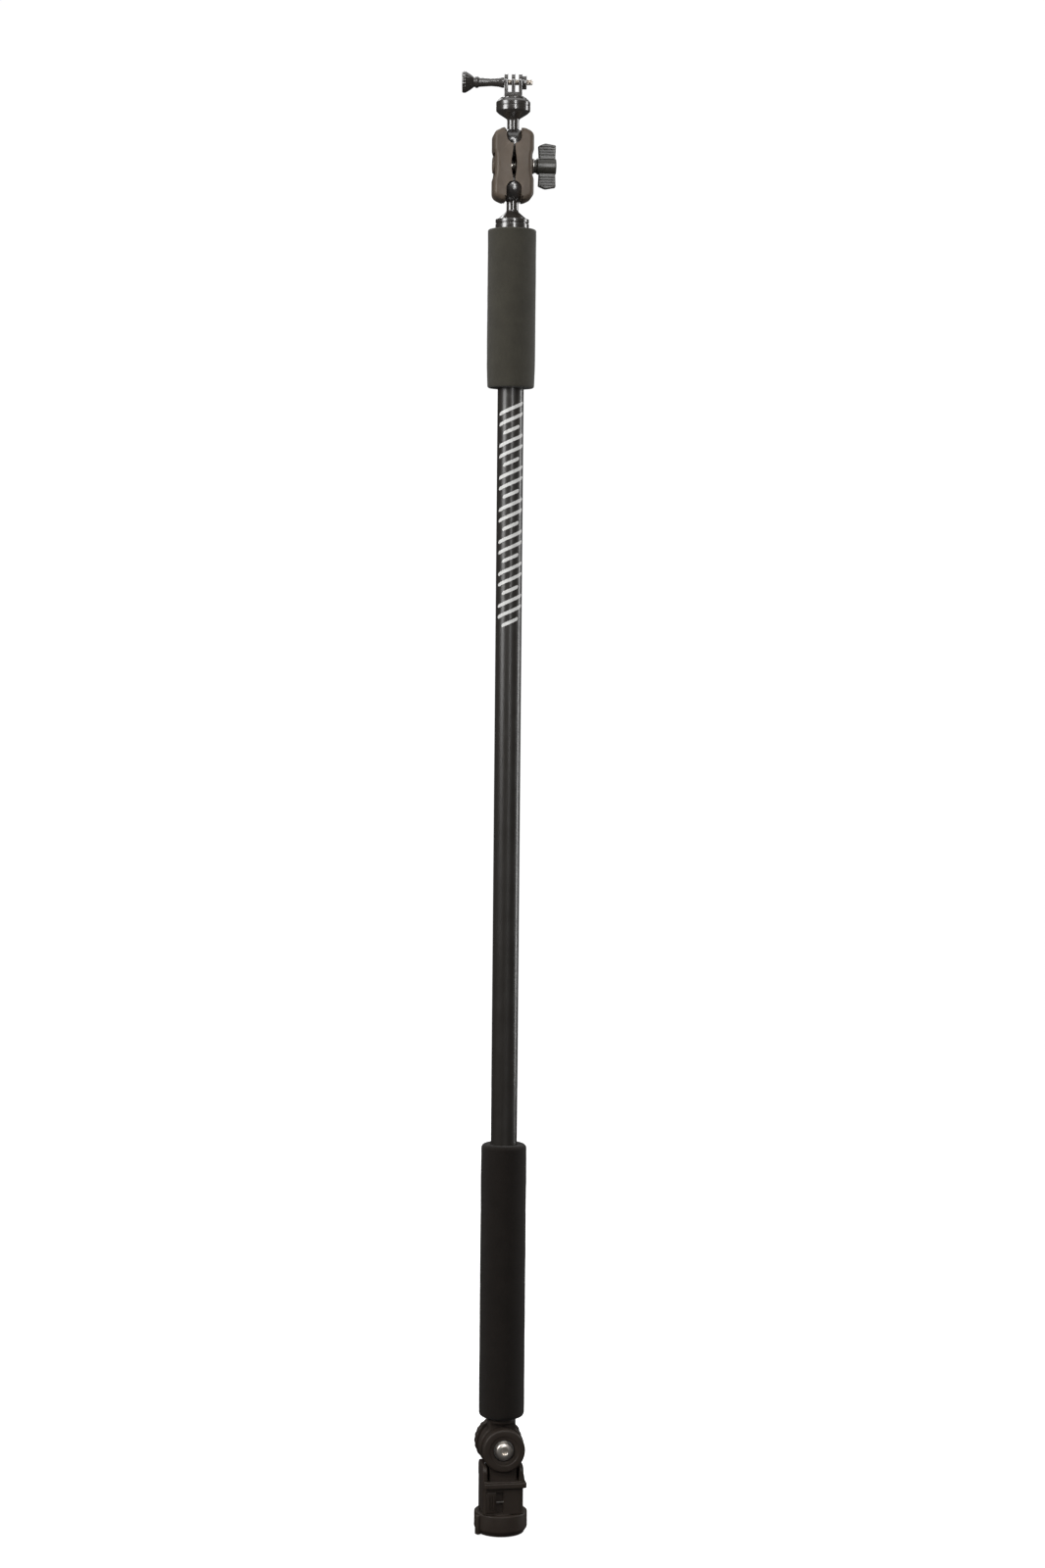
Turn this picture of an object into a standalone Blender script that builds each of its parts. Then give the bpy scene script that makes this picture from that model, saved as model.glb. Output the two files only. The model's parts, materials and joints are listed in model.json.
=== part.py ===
"""A fixed-length boom pole for an action camera, built from its separate pieces.

The script works in metres with +Z up. The origin lies on the pole's axis, in the plane of the
base's bottom face. +X is to the right and +Y points away from the head of the elbow bolt.
The constants and the outlines are in millimetres, and MM turns them into metres.

The pieces hang on a chain of empties, one on each joint's axis, from the base up to the thumb
screw: turning an empty moves everything above it.
"""

import math

import bmesh
import bpy
from mathutils import Matrix, Vector

MM = 0.001
GAP = 0.3  # between neighbouring pieces
FACETS = 28  # of a turned piece
FEW_FACETS = 16  # of a small or hidden one

# Heights on the pole's axis
COLLAR_TOP = 18.0
HOUSING_TOP = 46.0
ELBOW_Z = 72.3
GRIP_BOTTOM = 97.8
LOWER_GRIP_TOP = 329.0
UPPER_GRIP_BOTTOM = 971.0
TUBE_TOP = 1105.7
LOWER_BALL_Z = 1141.0
BALL_SPACING = 38.1
UPPER_BALL_Z = LOWER_BALL_Z + BALL_SPACING
SWIVEL_Z = 1216.0
THUMB_Z = 1230.9

# How far each group is turned about the pole's axis, in degrees
BASE_YAW = 9.0
ARM_YAW = 5.5

# Pole
TUBE_R = 11.1
TUBE_WALL = 1.5
PLUG_R = TUBE_R - TUBE_WALL - GAP
UPPER_GRIP_R = 20.6
LOWER_GRIP_R = 19.4
PIN_R = 2.0

# Base
HOUSING_X = 34.8
HOUSING_Y = 33.0
SLEEVE_R = 17.5
SOCKET_R = 11.5
SOCKET_DEPTH = 36.0
SPLINES = 12
COLLAR_R = 22.6
LUG_AZIMUTH = 206.0
LUG_TOP = 17.0
WINDOW = (-14.8, -0.1)
WINDOW_Z = (19.5, 37.5)
WINDOW_FLOOR = -13.0
LATCH_WIDTH = 8.2
LATCH_SPRING_R = 1.1
LATCH_SPRING_Y = -14.5

# Elbow, front to back along its axis
EYE_R = 19.0
EYE_HALF = 6.0
CHEEK_R = 17.5
CHEEK_IN = 7.6
CHEEK_OUT = 12.6
FRONT_DISC_R = 18.1
FRONT_DISC_FACE = 18.4
ELBOW_BOLT_R = 4.0
ELBOW_KNOB_R = 20.4
ELBOW_KNOB_THICK = 9.0

# Ball studs and double-socket arm
BALL_R = 12.7
CORE_R = 9.6
NECK_R = 5.0
ARM_LENGTH = 62.0
ARM_WIDTH = 34.2
ARM_DEPTH = 29.0
PARTING = 0.9
NOTCH_WIDTH = 13.0
LOWER_NOTCH_DEPTH = 16.6
UPPER_NOTCH_DEPTH = 13.8
ARM_BOLT_R = 3.0
KNOB_START = 18.3
KNOB_END = 36.8
KNOB_SPAN = 39.0
KNOB_HUB_R = 7.0
WING_THICK = 5.6

# Camera adapter and thumb screw
PRONG = 3.0
PRONG_GAP = 3.1
PRONG_DEPTH = 15.0
SLOT_BOTTOM = 1221.7
ROD_R = 2.5


def clear_scene():
    for thing in list(bpy.data.objects):
        bpy.data.objects.remove(thing)


def finish(name, colour, roughness, metallic=0.0):
    """A Principled material in one colour."""
    material = bpy.data.materials.new(name)
    material.use_nodes = True
    shader = material.node_tree.nodes["Principled BSDF"]
    shader.inputs["Base Color"].default_value = (*colour, 1)
    shader.inputs["Roughness"].default_value = roughness
    shader.inputs["Metallic"].default_value = metallic
    return material


# Shapes: each function returns a bmesh in metres


def turned(profile, facets=FACETS):
    """A solid of revolution about Z. profile lists (radius, height); it closes on itself, or
    starts and ends on the axis."""
    shape = bmesh.new()
    line = [shape.verts.new((radius * MM, 0, height * MM)) for radius, height in profile]
    following = line[1:] if profile[0][0] == 0 else line[1:] + line[:1]
    edges = [shape.edges.new(ends) for ends in zip(line, following)]
    bmesh.ops.spin(
        shape, geom=line + edges, axis=(0, 0, 1), angle=math.tau, steps=facets, use_merge=True
    )
    bmesh.ops.remove_doubles(shape, verts=shape.verts, dist=1e-7)
    bmesh.ops.recalc_face_normals(shape, faces=shape.faces)
    return shape


def tube(outer, inner, bottom, top, facets=FACETS):
    return turned([(inner, bottom), (outer, bottom), (outer, top), (inner, top)], facets)


def rod(radius, bottom, top, facets=FEW_FACETS):
    return turned([(0, bottom), (radius, bottom), (radius, top), (0, top)], facets)


def extruded(outline, start, end):
    """The (x, y) outline as a solid from height start to height end."""
    shape = bmesh.new()
    face = shape.faces.new([shape.verts.new((x * MM, y * MM, start * MM)) for x, y in outline])
    raised = bmesh.ops.extrude_face_region(shape, geom=[face])["geom"]
    moving = [part for part in raised if isinstance(part, bmesh.types.BMVert)]
    bmesh.ops.translate(shape, verts=moving, vec=(0, 0, (end - start) * MM))
    bmesh.ops.recalc_face_normals(shape, faces=shape.faces)
    return shape


def block(x, y, z):
    """A box between the two ends given for each axis."""
    (x0, x1), (y0, y1) = x, y
    return extruded([(x0, y0), (x1, y0), (x1, y1), (x0, y1)], *z)


def ball(radius, height, facets):
    steps = facets // 2
    angles = [math.pi * (step / steps - 0.5) for step in range(steps + 1)]
    points = [(radius * math.cos(a), height + radius * math.sin(a)) for a in angles[1:-1]]
    return turned([(0, height - radius), *points, (0, height + radius)], facets)


def arc(centre, radius, first, last, steps):
    """Points on a circle between two angles in degrees."""
    across, up = centre
    angles = [math.radians(first + (last - first) * step / steps) for step in range(steps + 1)]
    return [(across + radius * math.cos(a), up + radius * math.sin(a)) for a in angles]


def turn_to(shape, axis):
    """Turns a shape made along +Z so that it lies along +X or +Y."""
    turns = {"X": Matrix.Rotation(math.pi / 2, 3, "Y"), "Y": Matrix.Rotation(-math.pi / 2, 3, "X")}
    bmesh.ops.transform(shape, matrix=turns[axis].to_4x4(), verts=shape.verts)
    return shape


def shifted(shape, x=0.0, y=0.0, z=0.0):
    bmesh.ops.translate(shape, verts=shape.verts, vec=Vector((x, y, z)) * MM)
    return shape


def upright(outline, start, end):
    """The outline drawn in X and Z, as a solid from start to end along Y."""
    shape = extruded([(x, -z) for x, z in outline], start, end)
    return turn_to(shape, "Y")


def sideways(outline, start, end):
    """The outline drawn in Y and Z, as a solid from start to end along X."""
    shape = extruded([(-z, y) for y, z in outline], start, end)
    return turn_to(shape, "X")


# Objects


def empty(name, parent, height, yaw=0.0):
    """An empty on the pole's axis, at a height in the world, turned about Z from its parent."""
    axis = bpy.data.objects.new(name, None)
    bpy.context.collection.objects.link(axis)
    axis.parent = parent
    axis["height"] = height
    below = parent["height"] if parent else 0.0
    axis.location = (0, 0, (height - below) * MM)
    axis.rotation_euler = (0, 0, math.radians(yaw))
    return axis


def piece(name, shape, parent, material):
    """An object with its origin on the parent, from a shape whose heights are the parent's own."""
    mesh = bpy.data.meshes.new(name)
    shape.to_mesh(mesh)
    shape.free()
    mesh.shade_smooth()
    mesh.set_sharp_from_angle(angle=math.radians(35))
    thing = bpy.data.objects.new(name, mesh)
    bpy.context.collection.objects.link(thing)
    thing.parent = parent
    if material:
        mesh.materials.append(material)
    return thing


def boolean(thing, operation, shape, solver):
    """Joins a shape to an object, or cuts it, with a hidden helper beside it."""
    helper = piece(f"{thing.name}_tool", shape, thing.parent, None)
    helper.hide_render = True
    helper.display_type = "WIRE"
    modifier = thing.modifiers.new(operation.title(), "BOOLEAN")
    modifier.operation = operation
    modifier.object = helper
    modifier.solver = solver


def cut(thing, *shapes, solver="EXACT"):
    for shape in shapes:
        boolean(thing, "DIFFERENCE", shape, solver)


def join(thing, *shapes):
    for shape in shapes:
        boolean(thing, "UNION", shape, "EXACT")


def from_world(profile, frame):
    """A turned profile whose heights are the world's, in the heights of the frame."""
    return [(radius, height - frame["height"]) for radius, height in profile]


# Base: housing, lock collar and latch


def spline_outline():
    """The socket's outline, a circle with shallow splines."""
    points = []
    for step in range(4 * SPLINES):
        angle = math.tau * step / (4 * SPLINES)
        radius = SOCKET_R if step % 4 < 2 else SOCKET_R - 0.9
        points.append((radius * math.cos(angle), radius * math.sin(angle)))
    return points


def cheek_outline():
    """A web that rises from the housing and ends in a disc round the elbow's axis."""
    web = 11.7
    start = -math.degrees(math.acos(web / CHEEK_R))
    disc = arc((0, ELBOW_Z), CHEEK_R, start, 180 - start, 16)
    return [(-web, HOUSING_TOP - 1), (web, HOUSING_TOP - 1), *disc]


def base_housing(frame, material):
    half_x, half_y = HOUSING_X / 2, HOUSING_Y / 2
    shape = block((-half_x, half_x), (-half_y, half_y), (COLLAR_TOP + GAP, HOUSING_TOP))
    corners = [e for e in shape.edges if abs(e.verts[0].co.z - e.verts[1].co.z) > 10 * MM]
    bmesh.ops.bevel(
        shape, geom=corners, offset=4.0 * MM, segments=3, profile=0.5, affect="EDGES"
    )
    housing = piece("base_housing", shape, frame, material)
    join(housing, rod(SLEEVE_R, 0, COLLAR_TOP + 2 * GAP, FACETS))

    # Side walls with rounded shoulders
    shoulder = arc((9, 53), 6, 0, 90, 4)
    wall = [(-15, HOUSING_TOP - 1), (15, HOUSING_TOP - 1), *shoulder]
    wall += [(-y, z) for y, z in reversed(shoulder)]
    inner = half_x - 4.0
    join(housing, sideways(wall, inner, half_x), sideways(wall, -half_x, -inner))

    # Cheeks on both sides of the elbow's eye
    join(housing, upright(cheek_outline(), -CHEEK_OUT, -CHEEK_IN))
    join(housing, upright(cheek_outline(), CHEEK_IN, CHEEK_OUT))

    # Front ledge, which turns the corner on the right
    ledge = (HOUSING_TOP - 5.4, HOUSING_TOP - 1.0)
    front, right = -half_y - 2.5, half_x + 2.2
    outline = [(-half_x + 0.6, front + 1.2), (-half_x + 1.8, front), (right - 1.5, front)]
    outline += [(right, front + 1.5), (right, -11), (half_x - 1, -9.5), (-half_x + 0.6, -9.5)]
    join(housing, extruded(outline, *ledge))
    gusset = [(half_x - 1, ledge[0] + 1), (right - 0.4, ledge[1] - 1), (half_x - 0.5, 57)]
    join(housing, upright(gusset, -14.5, -10.8))

    for radius, half in ((ELBOW_BOLT_R + GAP, 30), (EYE_R + 0.8, CHEEK_IN - GAP)):
        hole = turn_to(rod(radius, -half, half, FACETS), "Y")
        cut(housing, shifted(hole, z=ELBOW_Z))
    cut(housing, extruded(spline_outline(), -5, SOCKET_DEPTH))
    cut(housing, block(WINDOW, (-half_y - 1, WINDOW_FLOOR), WINDOW_Z))
    cut(housing, tube(SLEEVE_R + 2, SLEEVE_R - 1.3, 2.0, 3.6), latch_bore(), solver="MANIFOLD")


def latch_bore():
    """The blind hole that holds the far end of the latch's spring."""
    return latch_level(turn_to(rod(LATCH_SPRING_R + GAP, WINDOW[1] - 1, 6.5), "X"))


def latch_level(shape):
    """Moves a shape on the X axis to the line of the latch's spring."""
    return shifted(shape, y=LATCH_SPRING_Y, z=sum(WINDOW_Z) / 2)


def latch(frame, plastic, steel):
    left = WINDOW[0] + GAP
    front = -HOUSING_Y / 2 + 0.4
    z0, z1 = WINDOW_Z[0] + GAP, WINDOW_Z[1] - GAP
    slider = piece(
        "latch_slider",
        block((left, left + LATCH_WIDTH), (front, WINDOW_FLOOR - GAP), (z0, z1)),
        frame,
        plastic,
    )
    # Three grip ribs stand on the slider
    for rib in range(3):
        x = left + 1.8 + 2.0 * rib
        join(slider, block((x, x + 0.7), (front - 0.9, front + 0.5), (z0 + 3, z1 - 3)))
    spring = tube(LATCH_SPRING_R, LATCH_SPRING_R - 0.5, left + LATCH_WIDTH + GAP, 6.2, 12)
    piece("latch_spring", latch_level(turn_to(spring, "X")), frame, steel)


def lock_collar(frame, plastic, steel):
    bore = SLEEVE_R + 0.4
    rounding = arc((COLLAR_R - 3.4, 3.8), 3.4, -90, 0, 4)
    profile = [(bore + 2, 0.4), *rounding, (COLLAR_R, COLLAR_TOP - 0.6)]
    profile += [(COLLAR_R - 0.6, COLLAR_TOP), (bore, COLLAR_TOP), (bore, 4.0), (bore + 2, 4.0)]
    collar = piece("lock_collar", turned(profile), frame, plastic)
    lug = block((COLLAR_R - 1.5, COLLAR_R + 2.8), (-2.4, 2.4), (1.0, LUG_TOP))
    spin = Matrix.Rotation(math.radians(LUG_AZIMUTH), 4, "Z")
    bmesh.ops.transform(lug, matrix=spin, verts=lug.verts)
    join(collar, lug)

    ring = piece("collar_retaining_ring", tube(bore + 1.5, SLEEVE_R - 1.0, 2.3, 3.3), frame, steel)
    cut(ring, block((10, 25), (-3, 3), (0, 5)))


# Elbow


def elbow_hardware(frame, looks):
    """The pieces on the elbow's bolt, from its head at the front to the knob at the back."""
    disc_back, floor = -CHEEK_OUT - GAP, -14.6
    profile = [(ELBOW_BOLT_R + GAP, disc_back), (FRONT_DISC_R, disc_back)]
    profile += [(FRONT_DISC_R, -FRONT_DISC_FACE + 1.6), (FRONT_DISC_R - 1.6, -FRONT_DISC_FACE)]
    profile += [(9.2, -FRONT_DISC_FACE), (9.2, floor), (ELBOW_BOLT_R + GAP, floor)]
    piece("elbow_front_disc", turn_to(turned(profile), "Y"), frame, looks["black plastic"])

    washer = tube(8.6, ELBOW_BOLT_R + GAP, floor - GAP - 0.9, floor - GAP, FEW_FACETS)
    piece("elbow_bolt_washer", turn_to(washer, "Y"), frame, looks["steel"])

    head = floor - 2 * GAP - 0.9
    crown = [(7.4, head), (7.4, head - 1.6), (6.6, head - 2.8), (4.8, head - 3.6), (0, head - 3.9)]
    shank = [(0, 22.6), (ELBOW_BOLT_R - 0.8, 22.6), (ELBOW_BOLT_R, 21.8), (ELBOW_BOLT_R, head)]
    bolt = piece("elbow_bolt", turn_to(turned(shank + crown), "Y"), frame, looks["steel"])
    cut(bolt, turn_to(rod(2.9, head - 6, head - 1.6, 6), "Y"))

    for name, side in (("elbow_washer_front", -1), ("elbow_washer_back", 1)):
        faces = sorted((side * (EYE_HALF + GAP), side * (CHEEK_IN - GAP)))
        washer = tube(14.0, ELBOW_BOLT_R + 2 * GAP, *faces)
        piece(name, turn_to(washer, "Y"), frame, looks["brass"])


def elbow_knob(frame, looks):
    start = CHEEK_OUT + GAP
    flutes, depth = 24, 0.35
    outline = []
    for step in range(flutes * 3):
        angle = math.tau * step / (flutes * 3)
        radius = ELBOW_KNOB_R - depth * (1 - math.cos(flutes * angle))
        outline.append((radius * math.cos(angle), radius * math.sin(angle)))
    shape = extruded(outline, start + 1.6, start + ELBOW_KNOB_THICK)
    rim = [e for e in shape.edges if min(v.co.z for v in e.verts) > (start + 3) * MM]
    bmesh.ops.bevel(shape, geom=rim, offset=1.4 * MM, segments=1, affect="EDGES")
    knob = piece("elbow_knob", turn_to(shape, "Y"), frame, looks["black plastic"])
    join(knob, turn_to(rod(12.0, start, start + 3, FACETS), "Y"))
    cut(knob, turn_to(rod(ELBOW_BOLT_R + GAP, start - 2, start + 20), "Y"))
    cut(knob, turn_to(rod(7.4, start + 2.6, start + 20, 6), "Y"))
    nut = turn_to(rod(7.0, start + 2.9, start + 8.4, 6), "Y")
    nut = piece("elbow_knob_nut", nut, frame, looks["steel"])
    cut(nut, turn_to(rod(ELBOW_BOLT_R + GAP, start, start + 12), "Y"))


def elbow_tongue(frame, material):
    """The eye that turns in the elbow, with the plug that fills the end of the tube."""
    shoulder = GRIP_BOTTOM - ELBOW_Z - 0.7
    neck = 11.5
    start = math.degrees(math.acos(neck / EYE_R))
    outline = arc((0, 0), EYE_R, 180 - start, 360 + start, 20)
    outline += [(neck, shoulder - 1), (-neck, shoulder - 1)]
    tongue = piece("elbow_tongue", upright(outline, -EYE_HALF, EYE_HALF), frame, material)
    plug = [(0, shoulder - 4), (12.0, shoulder - 4), (12.0, shoulder), (PLUG_R, shoulder)]
    plug += [(PLUG_R, shoulder + 38), (PLUG_R - 1.5, shoulder + 40), (0, shoulder + 40)]
    join(tongue, turned(plug))
    cut(tongue, turn_to(rod(ELBOW_BOLT_R + 2 * GAP, -20, 20), "Y"))
    cut(tongue, cross_hole(118.0 - ELBOW_Z))


def cross_hole(height):
    """A hole right through the tube, for a pin."""
    return shifted(turn_to(rod(PIN_R + GAP, -20, 20, 12), "Y"), z=height)


# Pole


def pole(frame, looks):
    bottom, top = GRIP_BOTTOM - GAP - ELBOW_Z, TUBE_TOP - ELBOW_Z
    shaft = tube(TUBE_R, TUBE_R - TUBE_WALL, bottom, top)
    shaft = piece("mast_tube", shaft, frame, looks["black paint"])
    for name, height in (("lower_pin", 118.0), ("upper_pin", 1068.0)):
        cut(shaft, cross_hole(height - ELBOW_Z))
        pin = turn_to(rod(PIN_R, -TUBE_R + 0.2, TUBE_R - 0.2, 12), "Y")
        piece(name, shifted(pin, z=height - ELBOW_Z), frame, looks["steel"])

    bore = TUBE_R + GAP
    lower = [(bore, GRIP_BOTTOM)]
    lower += arc((LOWER_GRIP_R - 6.6, GRIP_BOTTOM + 6.6), 6.6, -90, 0, 5)
    lower += [(LOWER_GRIP_R, LOWER_GRIP_TOP - 4)]
    lower += arc((LOWER_GRIP_R - 4, LOWER_GRIP_TOP - 4), 4, 30, 90, 2)
    lower += [(bore, LOWER_GRIP_TOP)]
    piece("lower_grip", turned(from_world(lower, frame)), frame, looks["black foam"])

    end = UPPER_GRIP_R - 0.6
    upper = [(bore, UPPER_GRIP_BOTTOM), (end - 2, UPPER_GRIP_BOTTOM), (end, UPPER_GRIP_BOTTOM + 2)]
    upper += [(UPPER_GRIP_R, UPPER_GRIP_BOTTOM + 20), (UPPER_GRIP_R, TUBE_TOP - 1.5)]
    upper += [(UPPER_GRIP_R - 1.5, TUBE_TOP), (bore, TUBE_TOP)]
    piece("upper_grip", turned(from_world(upper, frame)), frame, looks["grey foam"])


def top_plug(frame, looks):
    """The plug in the top of the tube, and the screw that draws the lower ball stud onto it."""
    screw_r = 3.0
    bottom, ledge, seal = 1055.0, 1083.0, 1097.0
    profile = [(6.5, bottom), (PLUG_R - 1, bottom), (PLUG_R, bottom + 1), (PLUG_R, seal)]
    profile += [(8.2, seal), (8.2, seal + 2.2), (PLUG_R, seal + 2.2), (PLUG_R, TUBE_TOP)]
    profile += [(screw_r + GAP, TUBE_TOP), (screw_r + GAP, ledge), (6.5, ledge)]
    plug = turned(from_world(profile, frame), FEW_FACETS)
    plug = piece("top_plug", plug, frame, looks["black plastic"])
    cut(plug, cross_hole(1068.0 - ELBOW_Z))

    ring = tube(TUBE_R - TUBE_WALL - GAP, 8.5, seal + GAP - ELBOW_Z, seal + 1.9 - ELBOW_Z, FEW_FACETS)
    piece("top_seal_ring", ring, frame, looks["rubber"])

    head = ledge - GAP
    profile = [(0, head - 4), (5.4, head - 4), (5.4, head), (screw_r, head)]
    profile += [(screw_r, LOWER_BALL_Z - 23.5), (0, LOWER_BALL_Z - 23.5)]
    screw = turned(from_world(profile, frame), FEW_FACETS)
    piece("top_plug_screw", screw, frame, looks["steel"])


# Ball studs


def stud_profile(flange, screw_r, screw_depth):
    """A stud with its ball's centre at height 0, its neck up and its flange at the top."""
    start = math.degrees(math.acos(NECK_R / CORE_R))
    core = arc((0, 0), CORE_R, -90, start, 5)
    end = flange[-1][1]
    hole = [(screw_r + GAP, end), (screw_r + GAP, end - screw_depth), (0, end - screw_depth)]
    return [(0, -CORE_R), *core[1:], (NECK_R, 19.4), *flange, *hole]


def cover_profile():
    """The rubber shell round a stud's core, open where the neck leaves it."""
    inner = CORE_R + GAP
    mouth = NECK_R + GAP
    outside = arc((0, 0), BALL_R, -90, math.degrees(math.acos(mouth / BALL_R)), 9)
    inside = arc((0, 0), inner, math.degrees(math.acos(mouth / inner)), -90, 6)
    return [(0, -BALL_R), *outside[1:], *inside[:-1], (0, -inner)]


def upended(profile):
    return [(radius, -height) for radius, height in profile]


def lower_stud(frame, looks):
    flange = [(5.4, 20.4), (12.3, 26.5), (14.2, 26.7), (14.2, 29.4), (13.5, 29.8)]
    flange += [(13.5, 30.4), (14.2, 30.8), (14.2, LOWER_BALL_Z - TUBE_TOP - GAP)]
    shape = turned(upended(stud_profile(flange, 3.0, 12.0)))
    piece("lower_stud", shape, frame, looks["gloss black"])
    piece("lower_ball", turned(upended(cover_profile())), frame, looks["rubber"])


def upper_stud(frame, looks):
    top = SWIVEL_Z - UPPER_BALL_Z
    flange = [(5.4, 20.6), (12.4, 25.0), (14.5, 27.1), (14.5, 34.6), (12.6, top)]
    shape = turned(stud_profile(flange, 3.1, 12.5))
    piece("upper_stud", shape, frame, looks["gloss black"])
    piece("upper_ball", turned(cover_profile()), frame, looks["rubber"])
    stud = rod(3.1, top - 12.0, top + 4.0)
    piece("adapter_stud", stud, frame, looks["steel"])


# Double-socket arm, drawn about its own middle


def arm_outline():
    """The outline of the right half in X and Z, with a relieved parting face."""
    half, edge = ARM_LENGTH / 2, ARM_WIDTH / 2
    upper = [(edge - 1.4, 5.5), (edge - 1.2, 8.5), (edge, 12.5), (edge, half - 7.5)]
    upper += [(edge - 1.9, half - 3.2), (edge - 6, half - 0.8), (edge - 10.2, half)]
    upper += [(PARTING, half), (PARTING, 13.5), (PARTING + 0.9, 7.0), (PARTING + 1.5, 2.5)]
    return upper + [(x, -z) for x, z in reversed(upper)]


def arm_half(name, side, frame, material):
    """One half of the arm: side is -1 for the left one, which holds the bolt's head and has a
    rib that keys into the other half."""
    outline = [(side * x, z) for x, z in arm_outline()]
    half_depth = ARM_DEPTH / 2
    shape = upright(outline, -half_depth, half_depth)
    faces = [f for f in shape.faces if abs(f.normal.y) > 0.9]
    rims = {edge for face in faces for edge in face.edges}
    outer = [e for e in rims if side * (e.verts[0].co.x + e.verts[1].co.x) / 2 > 8 * MM]
    bmesh.ops.bevel(
        shape, geom=outer, offset=4.5 * MM, segments=2, profile=0.5, affect="EDGES"
    )
    thing = piece(name, shape, frame, material)
    if side < 0:
        join(thing, block((-4.0, 3.0), (5.8, 8.6), (-13, 13)))
    else:
        cut(thing, block((0, 3.4), (5.4, 9.0), (-14, 14)))
    for end in (-1, 1):
        cut(thing, ball(BALL_R + GAP, end * BALL_SPACING / 2, 20), arm_notch(end))
    hole = ARM_BOLT_R + GAP
    cut(thing, turn_to(rod(hole, -30, 30), "X"))
    cut(thing, turn_to(rod(5.2, -5.9, 5.9), "X"))
    if side < 0:
        cut(thing, turn_to(rod(6.2, -30, -12.6, 6), "X"))
    else:
        join(thing, turn_to(tube(7.4, hole, ARM_WIDTH / 2 - 4, ARM_WIDTH / 2 - 0.4), "X"))
    return thing


def arm_notch(end):
    """The notch in an end of the arm, through which the ball's neck swings."""
    half, radius = ARM_LENGTH / 2, NOTCH_WIDTH / 2
    bottom = half - (UPPER_NOTCH_DEPTH if end > 0 else LOWER_NOTCH_DEPTH) + radius
    outline = [*arc((0, bottom), radius, 180, 360, 8), (radius, half + 5), (-radius, half + 5)]
    return upright([(x, end * z) for x, z in outline], -ARM_DEPTH, ARM_DEPTH)


def arm(frame, looks):
    arm_half("arm_half_left", -1, frame, looks["arm composite"])
    arm_half("arm_half_right", 1, frame, looks["arm composite"])
    bolt = piece("arm_bolt", turn_to(rod(ARM_BOLT_R, -14.0, 33.0), "X"), frame, looks["steel"])
    join(bolt, turn_to(rod(5.8, -16.4, -12.9, 6), "X"))
    spring = tube(4.7, ARM_BOLT_R + 0.6, -5.6, 5.6, FEW_FACETS)
    piece("arm_spring", turn_to(spring, "X"), frame, looks["steel"])


def wing_outline():
    """The upper wing of the clamp knob in X and Z, with a crowned end."""
    tip = KNOB_SPAN / 2
    start, end = KNOB_START + 2.7, KNOB_END
    crown = [(start + 0.6, tip - 2.4), (start + 6.5, tip), (end - 0.2, tip - 1.6)]
    return [(start + 1.4, 2.0), (end - 1.2, 2.0), (end - 0.6, KNOB_HUB_R), *reversed(crown)]


def clamp_knob(frame, looks):
    insert_r = 4.6
    washer = tube(6.6, ARM_BOLT_R + GAP, ARM_WIDTH / 2 - 0.1, KNOB_START - GAP, FEW_FACETS)
    piece("clamp_washer", turn_to(washer, "X"), frame, looks["steel"])
    profile = [(0, KNOB_START), (5.8, KNOB_START), (5.8, KNOB_START + 1.4)]
    profile += [(KNOB_HUB_R, KNOB_START + 2.8), (KNOB_HUB_R, KNOB_END - 1)]
    profile += [(KNOB_HUB_R - 1, KNOB_END), (0, KNOB_END)]
    knob = piece("clamp_knob", turn_to(turned(profile), "X"), frame, looks["knob plastic"])
    for end in (-1, 1):
        wing = upright([(x, end * z) for x, z in wing_outline()], -WING_THICK / 2, WING_THICK / 2)
        join(knob, wing)
    cut(knob, turn_to(rod(insert_r + GAP, KNOB_START - 2, KNOB_END - 2.6), "X"))
    insert = tube(insert_r, ARM_BOLT_R + GAP, KNOB_START + 0.2, KNOB_END - 3.0, FEW_FACETS)
    piece("clamp_knob_insert", turn_to(insert, "X"), frame, looks["brass"])


# Camera adapter and thumb screw


def camera_adapter(frame, looks):
    """Three prongs on a round foot, with a nut in the boss on the right."""
    half, pivot = (3 * PRONG + 2 * PRONG_GAP) / 2, THUMB_Z - SWIVEL_Z
    foot = GAP
    outline = [(-PRONG_DEPTH / 2, foot + 2), (PRONG_DEPTH / 2, foot + 2)]
    outline += arc((0, pivot), PRONG_DEPTH / 2, 0, 180, 12)
    adapter = piece(
        "camera_adapter", sideways(outline, -half, half), frame, looks["gloss black"]
    )
    base = [(3.4, foot), (11.4, foot), (11.4, foot + 0.7), (8.4, foot + 2.4), (3.4, foot + 2.4)]
    join(adapter, turned(base))
    join(adapter, shifted(turn_to(rod(5.9, half - 1.0, half + 3.6), "X"), z=pivot))
    for side in (-1, 1):
        faces = sorted((side * PRONG / 2, side * (PRONG / 2 + PRONG_GAP)))
        cut(adapter, block(faces, (-20, 20), (SLOT_BOTTOM - SWIVEL_Z, 40)))
    for hole in (rod(ROD_R + GAP, -20, 20), rod(5.0, half + 0.4, half + 9, 6)):
        cut(adapter, shifted(turn_to(hole, "X"), z=pivot), solver="MANIFOLD")
    cut(adapter, rod(3.4, -2, 4.3))

    nut = shifted(turn_to(rod(4.62, half + 0.7, half + 3.5, 6), "X"), z=pivot)
    nut = piece("adapter_nut", nut, frame, looks["steel"])
    cut(nut, shifted(turn_to(rod(ROD_R + GAP, 0, 20), "X"), z=pivot))


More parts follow.
